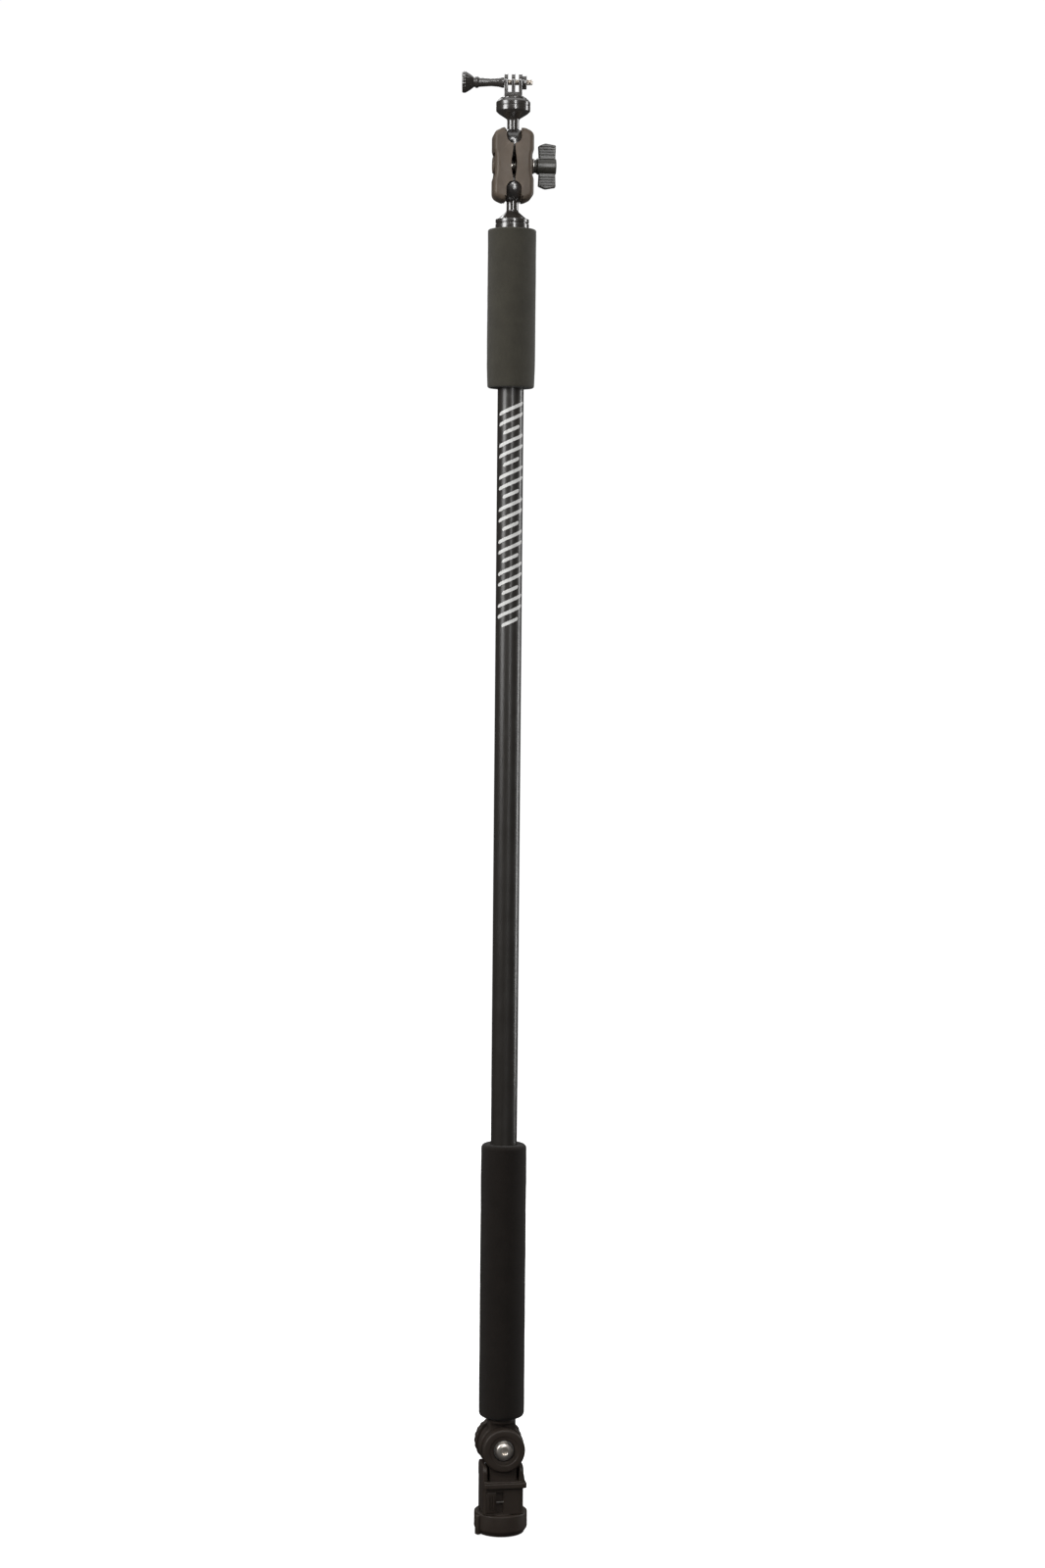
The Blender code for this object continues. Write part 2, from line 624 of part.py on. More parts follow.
def thumb_screw(frame, looks):
    """A bell-shaped head on a waisted stem, with the threaded rod that goes through the prongs."""
    rod_start, face = -30.0, -7.9
    profile = [(0, -43.5), (8.4, -43.5), (9.15, -42.6), (9.15, -41.0), (6.9, -37.0)]
    profile += [(5.1, -34.6), (4.3, -33.0), (4.9, -31.6), (4.6, -29.8), (4.0, -28.6)]
    profile += [(3.35, -19.0), (3.8, -12.5), (4.6, -9.0), (4.6, face), (ROD_R + GAP, face)]
    profile += [(ROD_R + GAP, rod_start - GAP), (0, rod_start - GAP)]
    shape = turn_to(turned(profile, 24), "X")
    piece("thumb_screw_knob", shape, frame, looks["gloss black"])
    tip = 16.4
    profile = [(0, rod_start), (ROD_R, rod_start), (ROD_R, tip - 0.8), (ROD_R - 0.8, tip), (0, tip)]
    piece("thumb_screw_rod", turn_to(turned(profile, FEW_FACETS), "X"), frame, looks["steel"])


def materials():
    return {
        "black plastic": finish("black plastic", (0.030, 0.026, 0.023), 0.55),
        "black paint": finish("black paint", (0.028, 0.026, 0.023), 0.38),
        "gloss black": finish("gloss black", (0.030, 0.026, 0.023), 0.25),
        "knob plastic": finish("knob plastic", (0.045, 0.045, 0.040), 0.5),
        "arm composite": finish("arm composite", (0.140, 0.120, 0.100), 0.45),
        "black foam": finish("black foam", (0.014, 0.012, 0.011), 0.9),
        "grey foam": finish("grey foam", (0.052, 0.048, 0.038), 0.9),
        "rubber": finish("rubber", (0.030, 0.027, 0.024), 0.5),
        "steel": finish("steel", (0.55, 0.53, 0.50), 0.3, 1.0),
        "brass": finish("brass", (0.60, 0.45, 0.22), 0.35, 1.0),
    }


def main():
    clear_scene()
    looks = materials()

    base = empty("base_frame", None, 0.0, BASE_YAW)
    base_housing(base, looks["black plastic"])
    latch(base, looks["black plastic"], looks["steel"])
    lock_collar(base, looks["black plastic"], looks["steel"])

    elbow = empty("elbow_axis", base, ELBOW_Z)
    elbow_hardware(elbow, looks)
    elbow_knob(elbow, looks)
    elbow_tongue(elbow, looks["black plastic"])
    pole(elbow, looks)
    top_plug(elbow, looks)

    lower_axis = empty("lower_ball_axis", elbow, LOWER_BALL_Z, ARM_YAW - BASE_YAW)
    lower_stud(lower_axis, looks)
    arm_axis = empty("arm_axis", lower_axis, (LOWER_BALL_Z + UPPER_BALL_Z) / 2)
    arm(arm_axis, looks)
    clamp_knob(arm_axis, looks)

    upper_axis = empty("upper_ball_axis", arm_axis, UPPER_BALL_Z)
    upper_stud(upper_axis, looks)
    camera_axis = empty("camera_axis", upper_axis, SWIVEL_Z, -ARM_YAW)
    camera_adapter(camera_axis, looks)
    thumb_axis = empty("thumb_screw_axis", camera_axis, THUMB_Z)
    thumb_screw(thumb_axis, looks)


main()
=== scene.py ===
"""The looks of the boom pole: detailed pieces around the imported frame, materials, light, camera.

Lengths are in millimetres unless a name ends in _M, and MM turns them into metres. Each group of
pieces is drawn in its own frame: an axis at some height on the pole, turned about the pole.
"""

import json
import math

import bmesh
import bpy
from mathutils import Matrix, Vector, noise

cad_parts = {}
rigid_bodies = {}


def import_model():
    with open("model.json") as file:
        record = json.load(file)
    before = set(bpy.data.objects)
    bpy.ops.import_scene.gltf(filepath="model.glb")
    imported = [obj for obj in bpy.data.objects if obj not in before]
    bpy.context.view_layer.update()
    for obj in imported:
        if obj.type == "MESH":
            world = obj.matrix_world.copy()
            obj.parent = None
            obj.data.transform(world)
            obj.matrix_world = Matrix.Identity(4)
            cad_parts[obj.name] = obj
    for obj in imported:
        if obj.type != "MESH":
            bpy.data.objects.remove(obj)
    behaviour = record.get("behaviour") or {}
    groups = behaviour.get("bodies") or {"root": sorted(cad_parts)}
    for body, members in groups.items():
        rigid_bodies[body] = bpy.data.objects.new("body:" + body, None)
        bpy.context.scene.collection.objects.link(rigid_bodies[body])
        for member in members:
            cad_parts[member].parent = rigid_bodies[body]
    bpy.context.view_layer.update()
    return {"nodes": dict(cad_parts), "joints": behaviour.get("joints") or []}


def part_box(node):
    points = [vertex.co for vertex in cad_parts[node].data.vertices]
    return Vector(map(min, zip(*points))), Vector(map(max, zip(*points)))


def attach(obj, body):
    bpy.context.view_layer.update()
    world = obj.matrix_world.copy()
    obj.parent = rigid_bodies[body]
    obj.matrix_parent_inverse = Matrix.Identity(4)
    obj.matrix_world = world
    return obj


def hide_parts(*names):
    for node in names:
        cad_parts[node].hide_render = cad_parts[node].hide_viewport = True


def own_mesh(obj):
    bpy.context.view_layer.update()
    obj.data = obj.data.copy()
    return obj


for leftover in list(bpy.data.objects):
    bpy.data.objects.remove(leftover)

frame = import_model()

MM = 0.001
GAP = 0.3
SIDES = 96
FEW_SIDES = 48

JOINTS = {joint["name"]: joint for joint in frame["joints"]}


def joint_height(name):
    return JOINTS[name]["pos_m"][2] / MM


def yaw_of(axis):
    return math.degrees(math.atan2(axis[1], axis[0]))


ELBOW_Z = joint_height("elbow_tilt")
LOWER_BALL_Z = joint_height("arm_tilt")
UPPER_BALL_Z = joint_height("upper_ball_tilt")
ARM_Z = joint_height("clamp_knob_turn")
SWIVEL_Z = joint_height("camera_swivel")
THUMB_Z = joint_height("thumb_screw_turn")
BASE_YAW = yaw_of(JOINTS["latch_slide"]["axis"])
ARM_YAW = yaw_of(JOINTS["arm_tilt"]["axis"])

TUBE_BOTTOM, TUBE_TOP = (corner[2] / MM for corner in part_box("mast_tube"))
TUBE_R = 11.1
TUBE_WALL = 1.5
LOWER_GRIP_R, UPPER_GRIP_R = 19.4, 20.6
PIN_HEIGHTS = LOWER_PIN_Z, UPPER_PIN_Z = 118.0, 1068.0
PIN_HOLE_R = 2.3

BASE = (BASE_YAW, 0.0)
ELBOW = (BASE_YAW, ELBOW_Z)
LOWER_BALL = (ARM_YAW, LOWER_BALL_Z)
UPPER_BALL = (ARM_YAW, UPPER_BALL_Z)
ARM = (ARM_YAW, ARM_Z)
SWIVEL = (0.0, SWIVEL_Z)
THUMB = (0.0, THUMB_Z)
POLE = (0.0, 0.0)


# Outlines


def rounded(points, steps=4, closed=True):
    """A polyline with filleted corners. A point is (x, y) or (x, y, fillet radius)."""
    line = []
    for i, point in enumerate(points):
        here = Vector(point[:2])
        fillet = point[2] if len(point) > 2 else 0.0
        ends = not closed and i in (0, len(points) - 1)
        if fillet == 0.0 or ends:
            line.append(tuple(here))
            continue
        back = Vector(points[i - 1][:2]) - here
        on = Vector(points[(i + 1) % len(points)][:2]) - here
        half = back.angle(on) / 2
        reach = min(fillet / math.tan(half), 0.49 * back.length, 0.49 * on.length)
        radius = reach * math.tan(half)
        centre = here + (back.normalized() + on.normalized()).normalized() * radius / math.sin(half)
        first = here + back.normalized() * reach - centre
        last = here + on.normalized() * reach - centre
        turn = first.angle_signed(last)
        for step in range(steps + 1):
            angle = -turn * step / steps
            across = first.x * math.cos(angle) - first.y * math.sin(angle)
            up = first.x * math.sin(angle) + first.y * math.cos(angle)
            line.append((centre.x + across, centre.y + up))
    return line


def arc(centre, radius, first, last, steps):
    """Points on a circle between two angles in degrees."""
    across, up = centre
    angles = [math.radians(first + (last - first) * step / steps) for step in range(steps + 1)]
    return [(across + radius * math.cos(a), up + radius * math.sin(a)) for a in angles]


def polar(radius_at, count):
    """A closed outline whose radius is a function of the angle."""
    angles = [math.tau * step / count for step in range(count)]
    return [(radius_at(a) * math.cos(a), radius_at(a) * math.sin(a)) for a in angles]


# Solids: each function returns a bmesh in metres


def turned(profile, facets=SIDES):
    """A solid of revolution about Z. profile lists (radius, height); it closes on itself, or
    starts and ends on the axis."""
    shape = bmesh.new()
    line = [shape.verts.new((radius * MM, 0, height * MM)) for radius, height in profile]
    following = line[1:] if profile[0][0] == 0 else line[1:] + line[:1]
    edges = [shape.edges.new(ends) for ends in zip(line, following)]
    bmesh.ops.spin(
        shape, geom=line + edges, axis=(0, 0, 1), angle=math.tau, steps=facets, use_merge=True
    )
    bmesh.ops.remove_doubles(shape, verts=shape.verts, dist=1e-7)
    bmesh.ops.recalc_face_normals(shape, faces=shape.faces)
    return shape


def on_axis(points, steps=3):
    """A filleted profile that starts and ends on the axis."""
    return rounded(points, steps, closed=False)


def rod(radius, bottom, top, facets=FEW_SIDES, edge=0.0):
    points = [(0, bottom), (radius, bottom, edge), (radius, top, edge), (0, top)]
    return turned(on_axis(points), facets)


def tube(outer, inner, bottom, top, facets=SIDES, edge=0.0):
    points = [(inner, bottom, edge), (outer, bottom, edge), (outer, top, edge), (inner, top, edge)]
    return turned(rounded(points, 3), facets)


def extruded(outline, start, end, edge=0.0, segments=3):
    """The (x, y) outline as a solid from height start to height end, with rounded rims."""
    shape = bmesh.new()
    face = shape.faces.new([shape.verts.new((x * MM, y * MM, start * MM)) for x, y in outline])
    raised = bmesh.ops.extrude_face_region(shape, geom=[face])["geom"]
    moving = [part for part in raised if isinstance(part, bmesh.types.BMVert)]
    bmesh.ops.translate(shape, verts=moving, vec=(0, 0, (end - start) * MM))
    bmesh.ops.recalc_face_normals(shape, faces=shape.faces)
    if edge:
        round_rims(shape, edge, segments)
    return shape


def round_rims(shape, edge, segments, choose=None):
    """Rounds the rims of an extruded solid's two end faces."""
    caps = [face for face in shape.faces if abs(face.normal.z) > 0.9]
    rims = {rim for face in caps for rim in face.edges}
    if choose:
        rims = {rim for rim in rims if choose((rim.verts[0].co + rim.verts[1].co) / 2)}
    bmesh.ops.bevel(
        shape, geom=list(rims), offset=edge * MM, segments=segments, profile=0.5, affect="EDGES"
    )


def block(x, y, z, edge=0.0, corner=0.0):
    """A box between the two ends given for each axis."""
    (x0, x1), (y0, y1) = x, y
    corners = [(x0, y0, corner), (x1, y0, corner), (x1, y1, corner), (x0, y1, corner)]
    return extruded(rounded(corners), *z, edge)


def ball(radius, height, facets=FEW_SIDES):
    points = arc((0, height), radius, -90, 90, facets // 2)
    points[0], points[-1] = (0, height - radius), (0, height + radius)
    return turned(points, facets)


def turn_to(shape, axis):
    """Turns a shape made along +Z so that it lies along +X or +Y."""
    turns = {"X": Matrix.Rotation(math.pi / 2, 4, "Y"), "Y": Matrix.Rotation(-math.pi / 2, 4, "X")}
    bmesh.ops.transform(shape, matrix=turns[axis], verts=shape.verts)
    return shape


def shifted(shape, x=0.0, y=0.0, z=0.0):
    bmesh.ops.translate(shape, verts=shape.verts, vec=Vector((x, y, z)) * MM)
    return shape


def spun(shape, degrees, axis="Z"):
    turn = Matrix.Rotation(math.radians(degrees), 4, axis)
    bmesh.ops.transform(shape, matrix=turn, verts=shape.verts)
    return shape


def upright(outline, start, end, edge=0.0, segments=3):
    """The outline drawn in X and Z, as a solid from start to end along Y."""
    return turn_to(extruded([(x, -z) for x, z in outline], start, end, edge, segments), "Y")


def sideways(outline, start, end, edge=0.0, segments=3):
    """The outline drawn in Y and Z, as a solid from start to end along X."""
    return turn_to(extruded([(-z, y) for y, z in outline], start, end, edge, segments), "X")


def swept(path, radius, sides=10):
    """A round wire along a list of points, closed at both ends."""
    shape = bmesh.new()
    rings = []
    for i, point in enumerate(path):
        ahead = path[min(i + 1, len(path) - 1)]
        behind = path[max(i - 1, 0)]
        along = (ahead - behind).normalized()
        out = along.cross(Vector((1, 0, 0))).normalized()
        over = along.cross(out)
        ring = []
        for side in range(sides):
            angle = math.tau * side / sides
            spot = point + (out * math.cos(angle) + over * math.sin(angle)) * radius
            ring.append(shape.verts.new(spot * MM))
        rings.append(ring)
    for low, high in zip(rings, rings[1:]):
        for side in range(sides):
            after = (side + 1) % sides
            shape.faces.new((low[side], low[after], high[after], high[side]))
    shape.faces.new(rings[0][::-1])
    shape.faces.new(rings[-1])
    bmesh.ops.recalc_face_normals(shape, faces=shape.faces)
    return shape


def coil(radius, wire, start, end, turns):
    """A helical spring along X, with closed end turns."""
    count = int(turns * 24)
    path = []
    for step in range(count + 1):
        part = step / count
        # The first and last turns lie flat
        climb = min(max((part * turns - 1) / (turns - 2), 0), 1)
        angle = math.tau * turns * part
        along = start + wire + (end - start - 2 * wire) * climb
        along += wire * (min(part * turns, 1) - 1) + wire * max(part * turns - turns + 1, 0)
        path.append(Vector((along, radius * math.cos(angle), radius * math.sin(angle))))
    return swept(path, wire)


def threaded(radius, pitch, depth, start, end, facets=32):
    """A rod along Z with a helical thread, closed and pointed at its far end."""
    shape = bmesh.new()
    per_turn = 8
    count = round((end - start) / pitch * per_turn)
    rings = []
    for level in range(count + 1):
        height = start + (end - start) * level / count
        taper = max(0.0, 1 - (end - height) / 0.9) * 0.9
        ring = []
        for side in range(facets):
            angle = math.tau * side / facets
            phase = (height / pitch - side / facets) % 1.0
            reach = radius - depth * (1 - abs(2 * phase - 1)) - taper
            spot = (reach * math.cos(angle), reach * math.sin(angle), height)
            ring.append(shape.verts.new(Vector(spot) * MM))
        rings.append(ring)
    for low, high in zip(rings, rings[1:]):
        for side in range(facets):
            after = (side + 1) % facets
            shape.faces.new((low[side], low[after], high[after], high[side]))
    shape.faces.new(rings[0][::-1])
    shape.faces.new(rings[-1])
    return shape


def nut(across_corners, bottom, top, bore):
    """A hexagonal nut along Z with chamfered corners."""
    hexagon = rod(across_corners, bottom, top, 6)
    edge = across_corners * 0.14
    barrel = [(0, bottom), (across_corners - edge, bottom), (across_corners, bottom + edge * 0.5)]
    barrel += [(across_corners, top - edge * 0.5), (across_corners - edge, top), (0, top)]
    flared = [(0, bottom - 1), (bore + 1.4, bottom - 1), (bore, bottom + 0.4)]
    flared += [(bore, top - 0.4), (bore + 1.4, top + 1), (0, top + 1)]
    rounded_off = combined(hexagon, "INTERSECT", turned(barrel, FEW_SIDES))
    return combined(rounded_off, "DIFFERENCE", turned(flared, FEW_SIDES))


# Booleans, applied at once


def temporary(shape):
    mesh = bpy.data.meshes.new("temporary")
    shape.to_mesh(mesh)
    shape.free()
    thing = bpy.data.objects.new("temporary", mesh)
    bpy.context.collection.objects.link(thing)
    return thing


def combined(shape, operation, *tools):
    """The shape with the tools joined on, cut away or intersected, as a new bmesh."""
    host = temporary(shape)
    helpers = [temporary(tool) for tool in tools]
    for helper in helpers:
        modifier = host.modifiers.new("Boolean", "BOOLEAN")
        modifier.operation = operation
        modifier.object = helper
        modifier.solver = "MANIFOLD"
    return baked(host, helpers)


def baked(host, helpers):
    """The object's final mesh as a bmesh; the object and its helpers are deleted."""
    final = host.evaluated_get(bpy.context.evaluated_depsgraph_get())
    result = bmesh.new()
    result.from_mesh(final.data)
    for thing in (host, *helpers):
        mesh = thing.data
        bpy.data.objects.remove(thing)
        bpy.data.meshes.remove(mesh)
    return result


def joined(shape, *tools):
    return combined(shape, "UNION", *tools)


def carved(shape, *tools):
    return combined(shape, "DIFFERENCE", *tools)


# Pieces


def piece(name, shape, group, body, nodes, look, smooth=32):
    """A finished piece in its group's frame, which rides on a body in place of CAD nodes."""
    yaw, height = group
    seat = Matrix.Translation((0, 0, height * MM)) @ Matrix.Rotation(math.radians(yaw), 4, "Z")
    bmesh.ops.transform(shape, matrix=seat, verts=shape.verts)
    mesh = bpy.data.meshes.new(name)
    shape.to_mesh(mesh)
    shape.free()
    mesh.shade_smooth()
    mesh.set_sharp_from_angle(angle=math.radians(smooth))
    mesh.materials.append(look)
    thing = bpy.data.objects.new(name, mesh)
    bpy.context.collection.objects.link(thing)
    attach(thing, body)
    if nodes:
        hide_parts(*nodes)
    return thing


def flat_faces(thing):
    """Keeps large flat faces flat-looking beside rounded edges."""
    weighting = thing.modifiers.new("Weighted Normal", "WEIGHTED_NORMAL")
    weighting.keep_sharp = True
    weighting.weight = 100


# Materials


class Look:
    """A Principled material with the nodes that vary it."""

    def __init__(self, name, roughness, metallic=0.0, **sockets):
        self.material = bpy.data.materials.new(name)
        self.material.use_nodes = True
        self.tree = self.material.node_tree
        self.shader = self.tree.nodes["Principled BSDF"]
        self.shader.inputs["Metallic"].default_value = metallic
        self.shader.inputs["Roughness"].default_value = roughness
        for socket, value in sockets.items():
            self.shader.inputs[socket.replace("_", " ")].default_value = value
        self.coordinates = self.node("ShaderNodeTexCoord").outputs["Object"]

    def node(self, kind, **inputs):
        node = self.tree.nodes.new(kind)
        for name, value in inputs.items():
            self.feed(node.inputs[name.replace("_", " ")], value)
        return node

    def feed(self, socket, value):
        if isinstance(value, bpy.types.NodeSocket):
            self.tree.links.new(value, socket)
        else:
            socket.default_value = value

    def stretched(self, scale):
        """The object's coordinates, squeezed along the axes."""
        mapping = self.node("ShaderNodeMapping", Vector=self.coordinates, Scale=scale)
        return mapping.outputs["Vector"]

    def noise(self, scale, detail=3.0, roughness=0.55, stretch=None):
        place = self.stretched(stretch) if stretch else self.coordinates
        node = self.node(
            "ShaderNodeTexNoise", Vector=place, Scale=scale, Detail=detail, Roughness=roughness
        )
        return node.outputs["Fac"]

    def cells(self, scale, randomness=1.0):
        node = self.node(
            "ShaderNodeTexVoronoi", Vector=self.coordinates, Scale=scale, Randomness=randomness
        )
        return node.outputs["Distance"]

    def ramp(self, value, low, high, to_low=0.0, to_high=1.0):
        node = self.node("ShaderNodeMapRange", Value=value)
        for name, number in zip(("From Min", "From Max", "To Min", "To Max"),
                                (low, high, to_low, to_high)):
            node.inputs[name].default_value = number
        return node.outputs["Result"]

    def blend(self, factor, first, second):
        node = self.tree.nodes.new("ShaderNodeMix")
        node.data_type = "RGBA"
        self.feed(node.inputs["Factor"], factor)
        for name, value in (("A", first), ("B", second)):
            socket = [s for s in node.inputs if s.name == name and s.type == "RGBA"][0]
            self.feed(socket, value if isinstance(value, bpy.types.NodeSocket) else (*value, 1))
        return [s for s in node.outputs if s.type == "RGBA"][0]

    def colour(self, value):
        self.feed(self.shader.inputs["Base Color"], value)

    def roughness(self, value):
        self.feed(self.shader.inputs["Roughness"], value)

    def bump(self, *layers):
        """Stacked bump: each layer is (height, depth in metres, strength)."""
        normal = None
        for height, depth, strength in layers:
            node = self.node("ShaderNodeBump", Height=height, Distance=depth, Strength=strength)
            if normal:
                self.feed(node.inputs["Normal"], normal)
            normal = node.outputs["Normal"]
        self.feed(self.shader.inputs["Normal"], normal)


def scaled(colour, factor):
    return tuple(channel * factor for channel in colour)


def worn(look, plain, bright, amount):
    """The plain colour, with convex edges rubbed a little brighter."""
    pointiness = look.node("ShaderNodeNewGeometry").outputs["Pointiness"]
    edge = look.ramp(pointiness, 0.515, 0.60)
    patchy = look.node("ShaderNodeMath", Value=0.0)
    patchy.operation = "MULTIPLY"
    look.feed(patchy.inputs[0], edge)
    look.feed(patchy.inputs[1], look.ramp(look.noise(160.0), 0.35, 0.65, 0.2 * amount, amount))
    return look.blend(patchy.outputs[0], plain, bright)


def moulded(name, colour, roughness, grain, depth, wear=0.3, **sockets):
    """Moulded plastic: a fine spark-eroded grain, faint flow marks and rubbed edges."""
    look = Look(name, roughness, **sockets)
    flow = look.ramp(look.noise(38.0, 4.0), 0.3, 0.7)
    plain = look.blend(flow, scaled(colour, 0.86), scaled(colour, 1.14))
    look.colour(worn(look, plain, scaled(colour, 2.4), wear))
    smears = look.noise(95.0, 5.0, 0.6)
    look.roughness(look.ramp(smears, 0.3, 0.7, roughness - 0.07, roughness + 0.09))
    look.bump((look.noise(grain, 2.0), depth, 0.6), (look.noise(45.0, 2.0), 0.00012, 0.25))
    return look.material


def foam(name, colour, sheen):
    """Closed-cell foam: skin with open pores painted darker inside as shade, slight mottling and a
    dry sheen.
    """
    look = Look(name, 0.88, Sheen_Weight=sheen, Sheen_Roughness=0.6, Specular_IOR_Level=sheen)
    pores = look.cells(1250.0)
    fine = look.cells(2600.0)
    mottle = look.ramp(look.noise(60.0, 4.0), 0.3, 0.7)
    skin = look.blend(mottle, scaled(colour, 0.88), scaled(colour, 1.12))
    # Painted shade: the colour darkens toward the middle of each pore, standing in for the shade
    # inside it
    painted_pore_shade = look.ramp(pores, 0.05, 0.32, 0.45, 0.0)
    look.colour(look.blend(painted_pore_shade, skin, scaled(colour, 0.35)))
    look.roughness(look.ramp(look.noise(400.0), 0.3, 0.7, 0.8, 0.95))
    look.bump(
        (look.ramp(pores, 0.0, 0.35), 0.00022, 0.55),
        (fine, 0.00012, 0.35),
        (look.noise(70.0, 3.0), 0.0005, 0.25),
    )
    return look.material


def coated_tube(name, colour):
    """Satin black coating over a drawn tube, with faint marks along it."""
    look = Look(name, 0.36, Coat_Weight=0.25, Coat_Roughness=0.22)
    streaks = look.noise(900.0, 3.0, 0.6, (1.0, 1.0, 0.02))
    specks = look.noise(1500.0, 2.0)
    tone = look.ramp(streaks, 0.3, 0.7)
    look.colour(look.blend(tone, scaled(colour, 0.9), scaled(colour, 1.12)))
    look.roughness(look.ramp(look.noise(70.0, 5.0), 0.3, 0.7, 0.3, 0.42))
    look.bump((streaks, 0.00004, 0.4), (specks, 0.00005, 0.35))
    return look.material


def rubber(name, colour):
    """A moulded rubber shell, polished in patches where the sockets grip it."""
    look = Look(name, 0.25, IOR=1.7, Specular_IOR_Level=1.0)
    patches = look.ramp(look.noise(190.0, 4.0), 0.35, 0.65)
    look.colour(look.blend(patches, scaled(colour, 0.8), scaled(colour, 1.2)))
    look.roughness(look.ramp(patches, 0.0, 1.0, 0.19, 0.31))
    look.bump((look.noise(2200.0), 0.00005, 0.5), (look.noise(240.0), 0.0002, 0.2))
    return look.material


def metal(name, colour, roughness, stretch=None):
    """Plated or turned metal with fine tool marks."""
    look = Look(name, roughness, 1.0)
    marks = look.noise(1400.0, 2.0, 0.5, stretch)
    tone = look.ramp(look.noise(220.0, 4.0), 0.3, 0.7)
    look.colour(look.blend(tone, scaled(colour, 0.88), colour))
    look.roughness(look.ramp(marks, 0.3, 0.7, roughness - 0.06, roughness + 0.1))
    look.bump((marks, 0.00004, 0.5))
    return look.material


def print_ink(name):
    """White print with a thin, slightly uneven surface."""
    look = Look(name, 0.5)
    thin = look.ramp(look.noise(320.0, 4.0), 0.3, 0.7)
    look.colour(look.blend(thin, (0.72, 0.71, 0.69), (0.86, 0.86, 0.84)))
    look.roughness(look.ramp(look.noise(700.0), 0.3, 0.7, 0.42, 0.58))
    look.bump((look.noise(1200.0), 0.00003, 0.4))
    return look.material


LOOKS = {
    "base": moulded(
        "base_nylon", (0.035, 0.026, 0.020), 0.46, 2400.0, 0.00006, Specular_IOR_Level=0.35
    ),
    "gloss": moulded(
        "gloss_black_plastic", (0.036, 0.031, 0.027), 0.23, 1500.0, 0.00002, 0.2,
        IOR=1.7, Specular_IOR_Level=0.9,
    ),
    "arm": moulded(
        "arm_composite", (0.112, 0.087, 0.066), 0.42, 1700.0, 0.0001, 0.35,
        Specular_IOR_Level=0.25,
    ),
    "knob": moulded(
        "knob_plastic", (0.046, 0.043, 0.036), 0.3, 1900.0, 0.00003, IOR=1.5,
        Specular_IOR_Level=0.7,
    ),
    "tube": coated_tube("tube_coating", (0.026, 0.023, 0.020)),
    # Painted light and shade: one foam in two copies, the upper grip's painted lighter and the
    # lower grip's painted darker, for the light that weakens down the pole
    "black foam": foam("black_foam", (0.014, 0.011, 0.009), 0.08),
    "grey foam": foam("grey_foam", (0.046, 0.042, 0.031), 0.18),
    "rubber": rubber("ball_rubber", (0.024, 0.021, 0.019)),
    "bright": metal("stainless", (0.86, 0.80, 0.73), 0.36),
    "steel": metal("zinc_plate", (0.56, 0.54, 0.51), 0.3),
    "brass": metal("brass", (0.62, 0.45, 0.22), 0.3),
    "ink": print_ink("white_print"),
}


# Base


def base_piece(name, shape, body, node, look="base", group=BASE):
    return piece(name, shape, group, body, [node], LOOKS[look])


HOUSING_HALF_X, HOUSING_HALF_Y = 17.4, 16.5
COLLAR_TOP, HOUSING_TOP = 18.0, 46.0
SLEEVE_R, COLLAR_R = 17.5, 22.6
SOCKET_R, SPLINE_HALF, SPLINES, SOCKET_DEPTH = 11.05, 0.45, 12, 36
WALL_THICK, SHOULDER_R, SHOULDER_Y, SHOULDER_Z = 4.0, 6, 9, 53
CHEEK_R, CHEEK_IN, CHEEK_OUT = 17.5, 7.6, 12.6
ELBOW_HOLE_R, EYE_R = 4.3, 19.0
WINDOW_X, WINDOW_Z, WINDOW_FLOOR = (-14.8, -0.1), (19.5, 37.5), -13.0
LATCH_WIDTH = 8.2
LUG_AZIMUTH, BACK_AZIMUTH = 206.0, 80.0
LUG_TOP = 17.0
LATCH_Y, LATCH_Z = -14.5, sum(WINDOW_Z) / 2


def spline_socket():
    """The cutter for the splined socket, with a lead-in at its mouth."""

    def radius_at(angle):
        wave = 3.2 * math.cos(SPLINES * angle)
        return SOCKET_R + SPLINE_HALF * max(-1.0, min(1.0, wave))

    socket = extruded(polar(radius_at, 24 * SPLINES), -5, SOCKET_DEPTH)
    lead = turned([(0, -1), (13.2, -1), (13.2, 0.0), (11.0, 1.6), (0, 1.6)])
    return socket, lead


def cheek(start, end):
    """A web that rises from the housing and ends in a disc round the elbow's axis."""
    web = 11.7
    first = -math.degrees(math.acos(web / CHEEK_R))
    outline = [(-web, HOUSING_TOP - 1), (web, HOUSING_TOP - 1)]
    outline += arc((0, ELBOW_Z), CHEEK_R, first, 180 - first, 56)
    return upright(outline, start, end, 0.7)


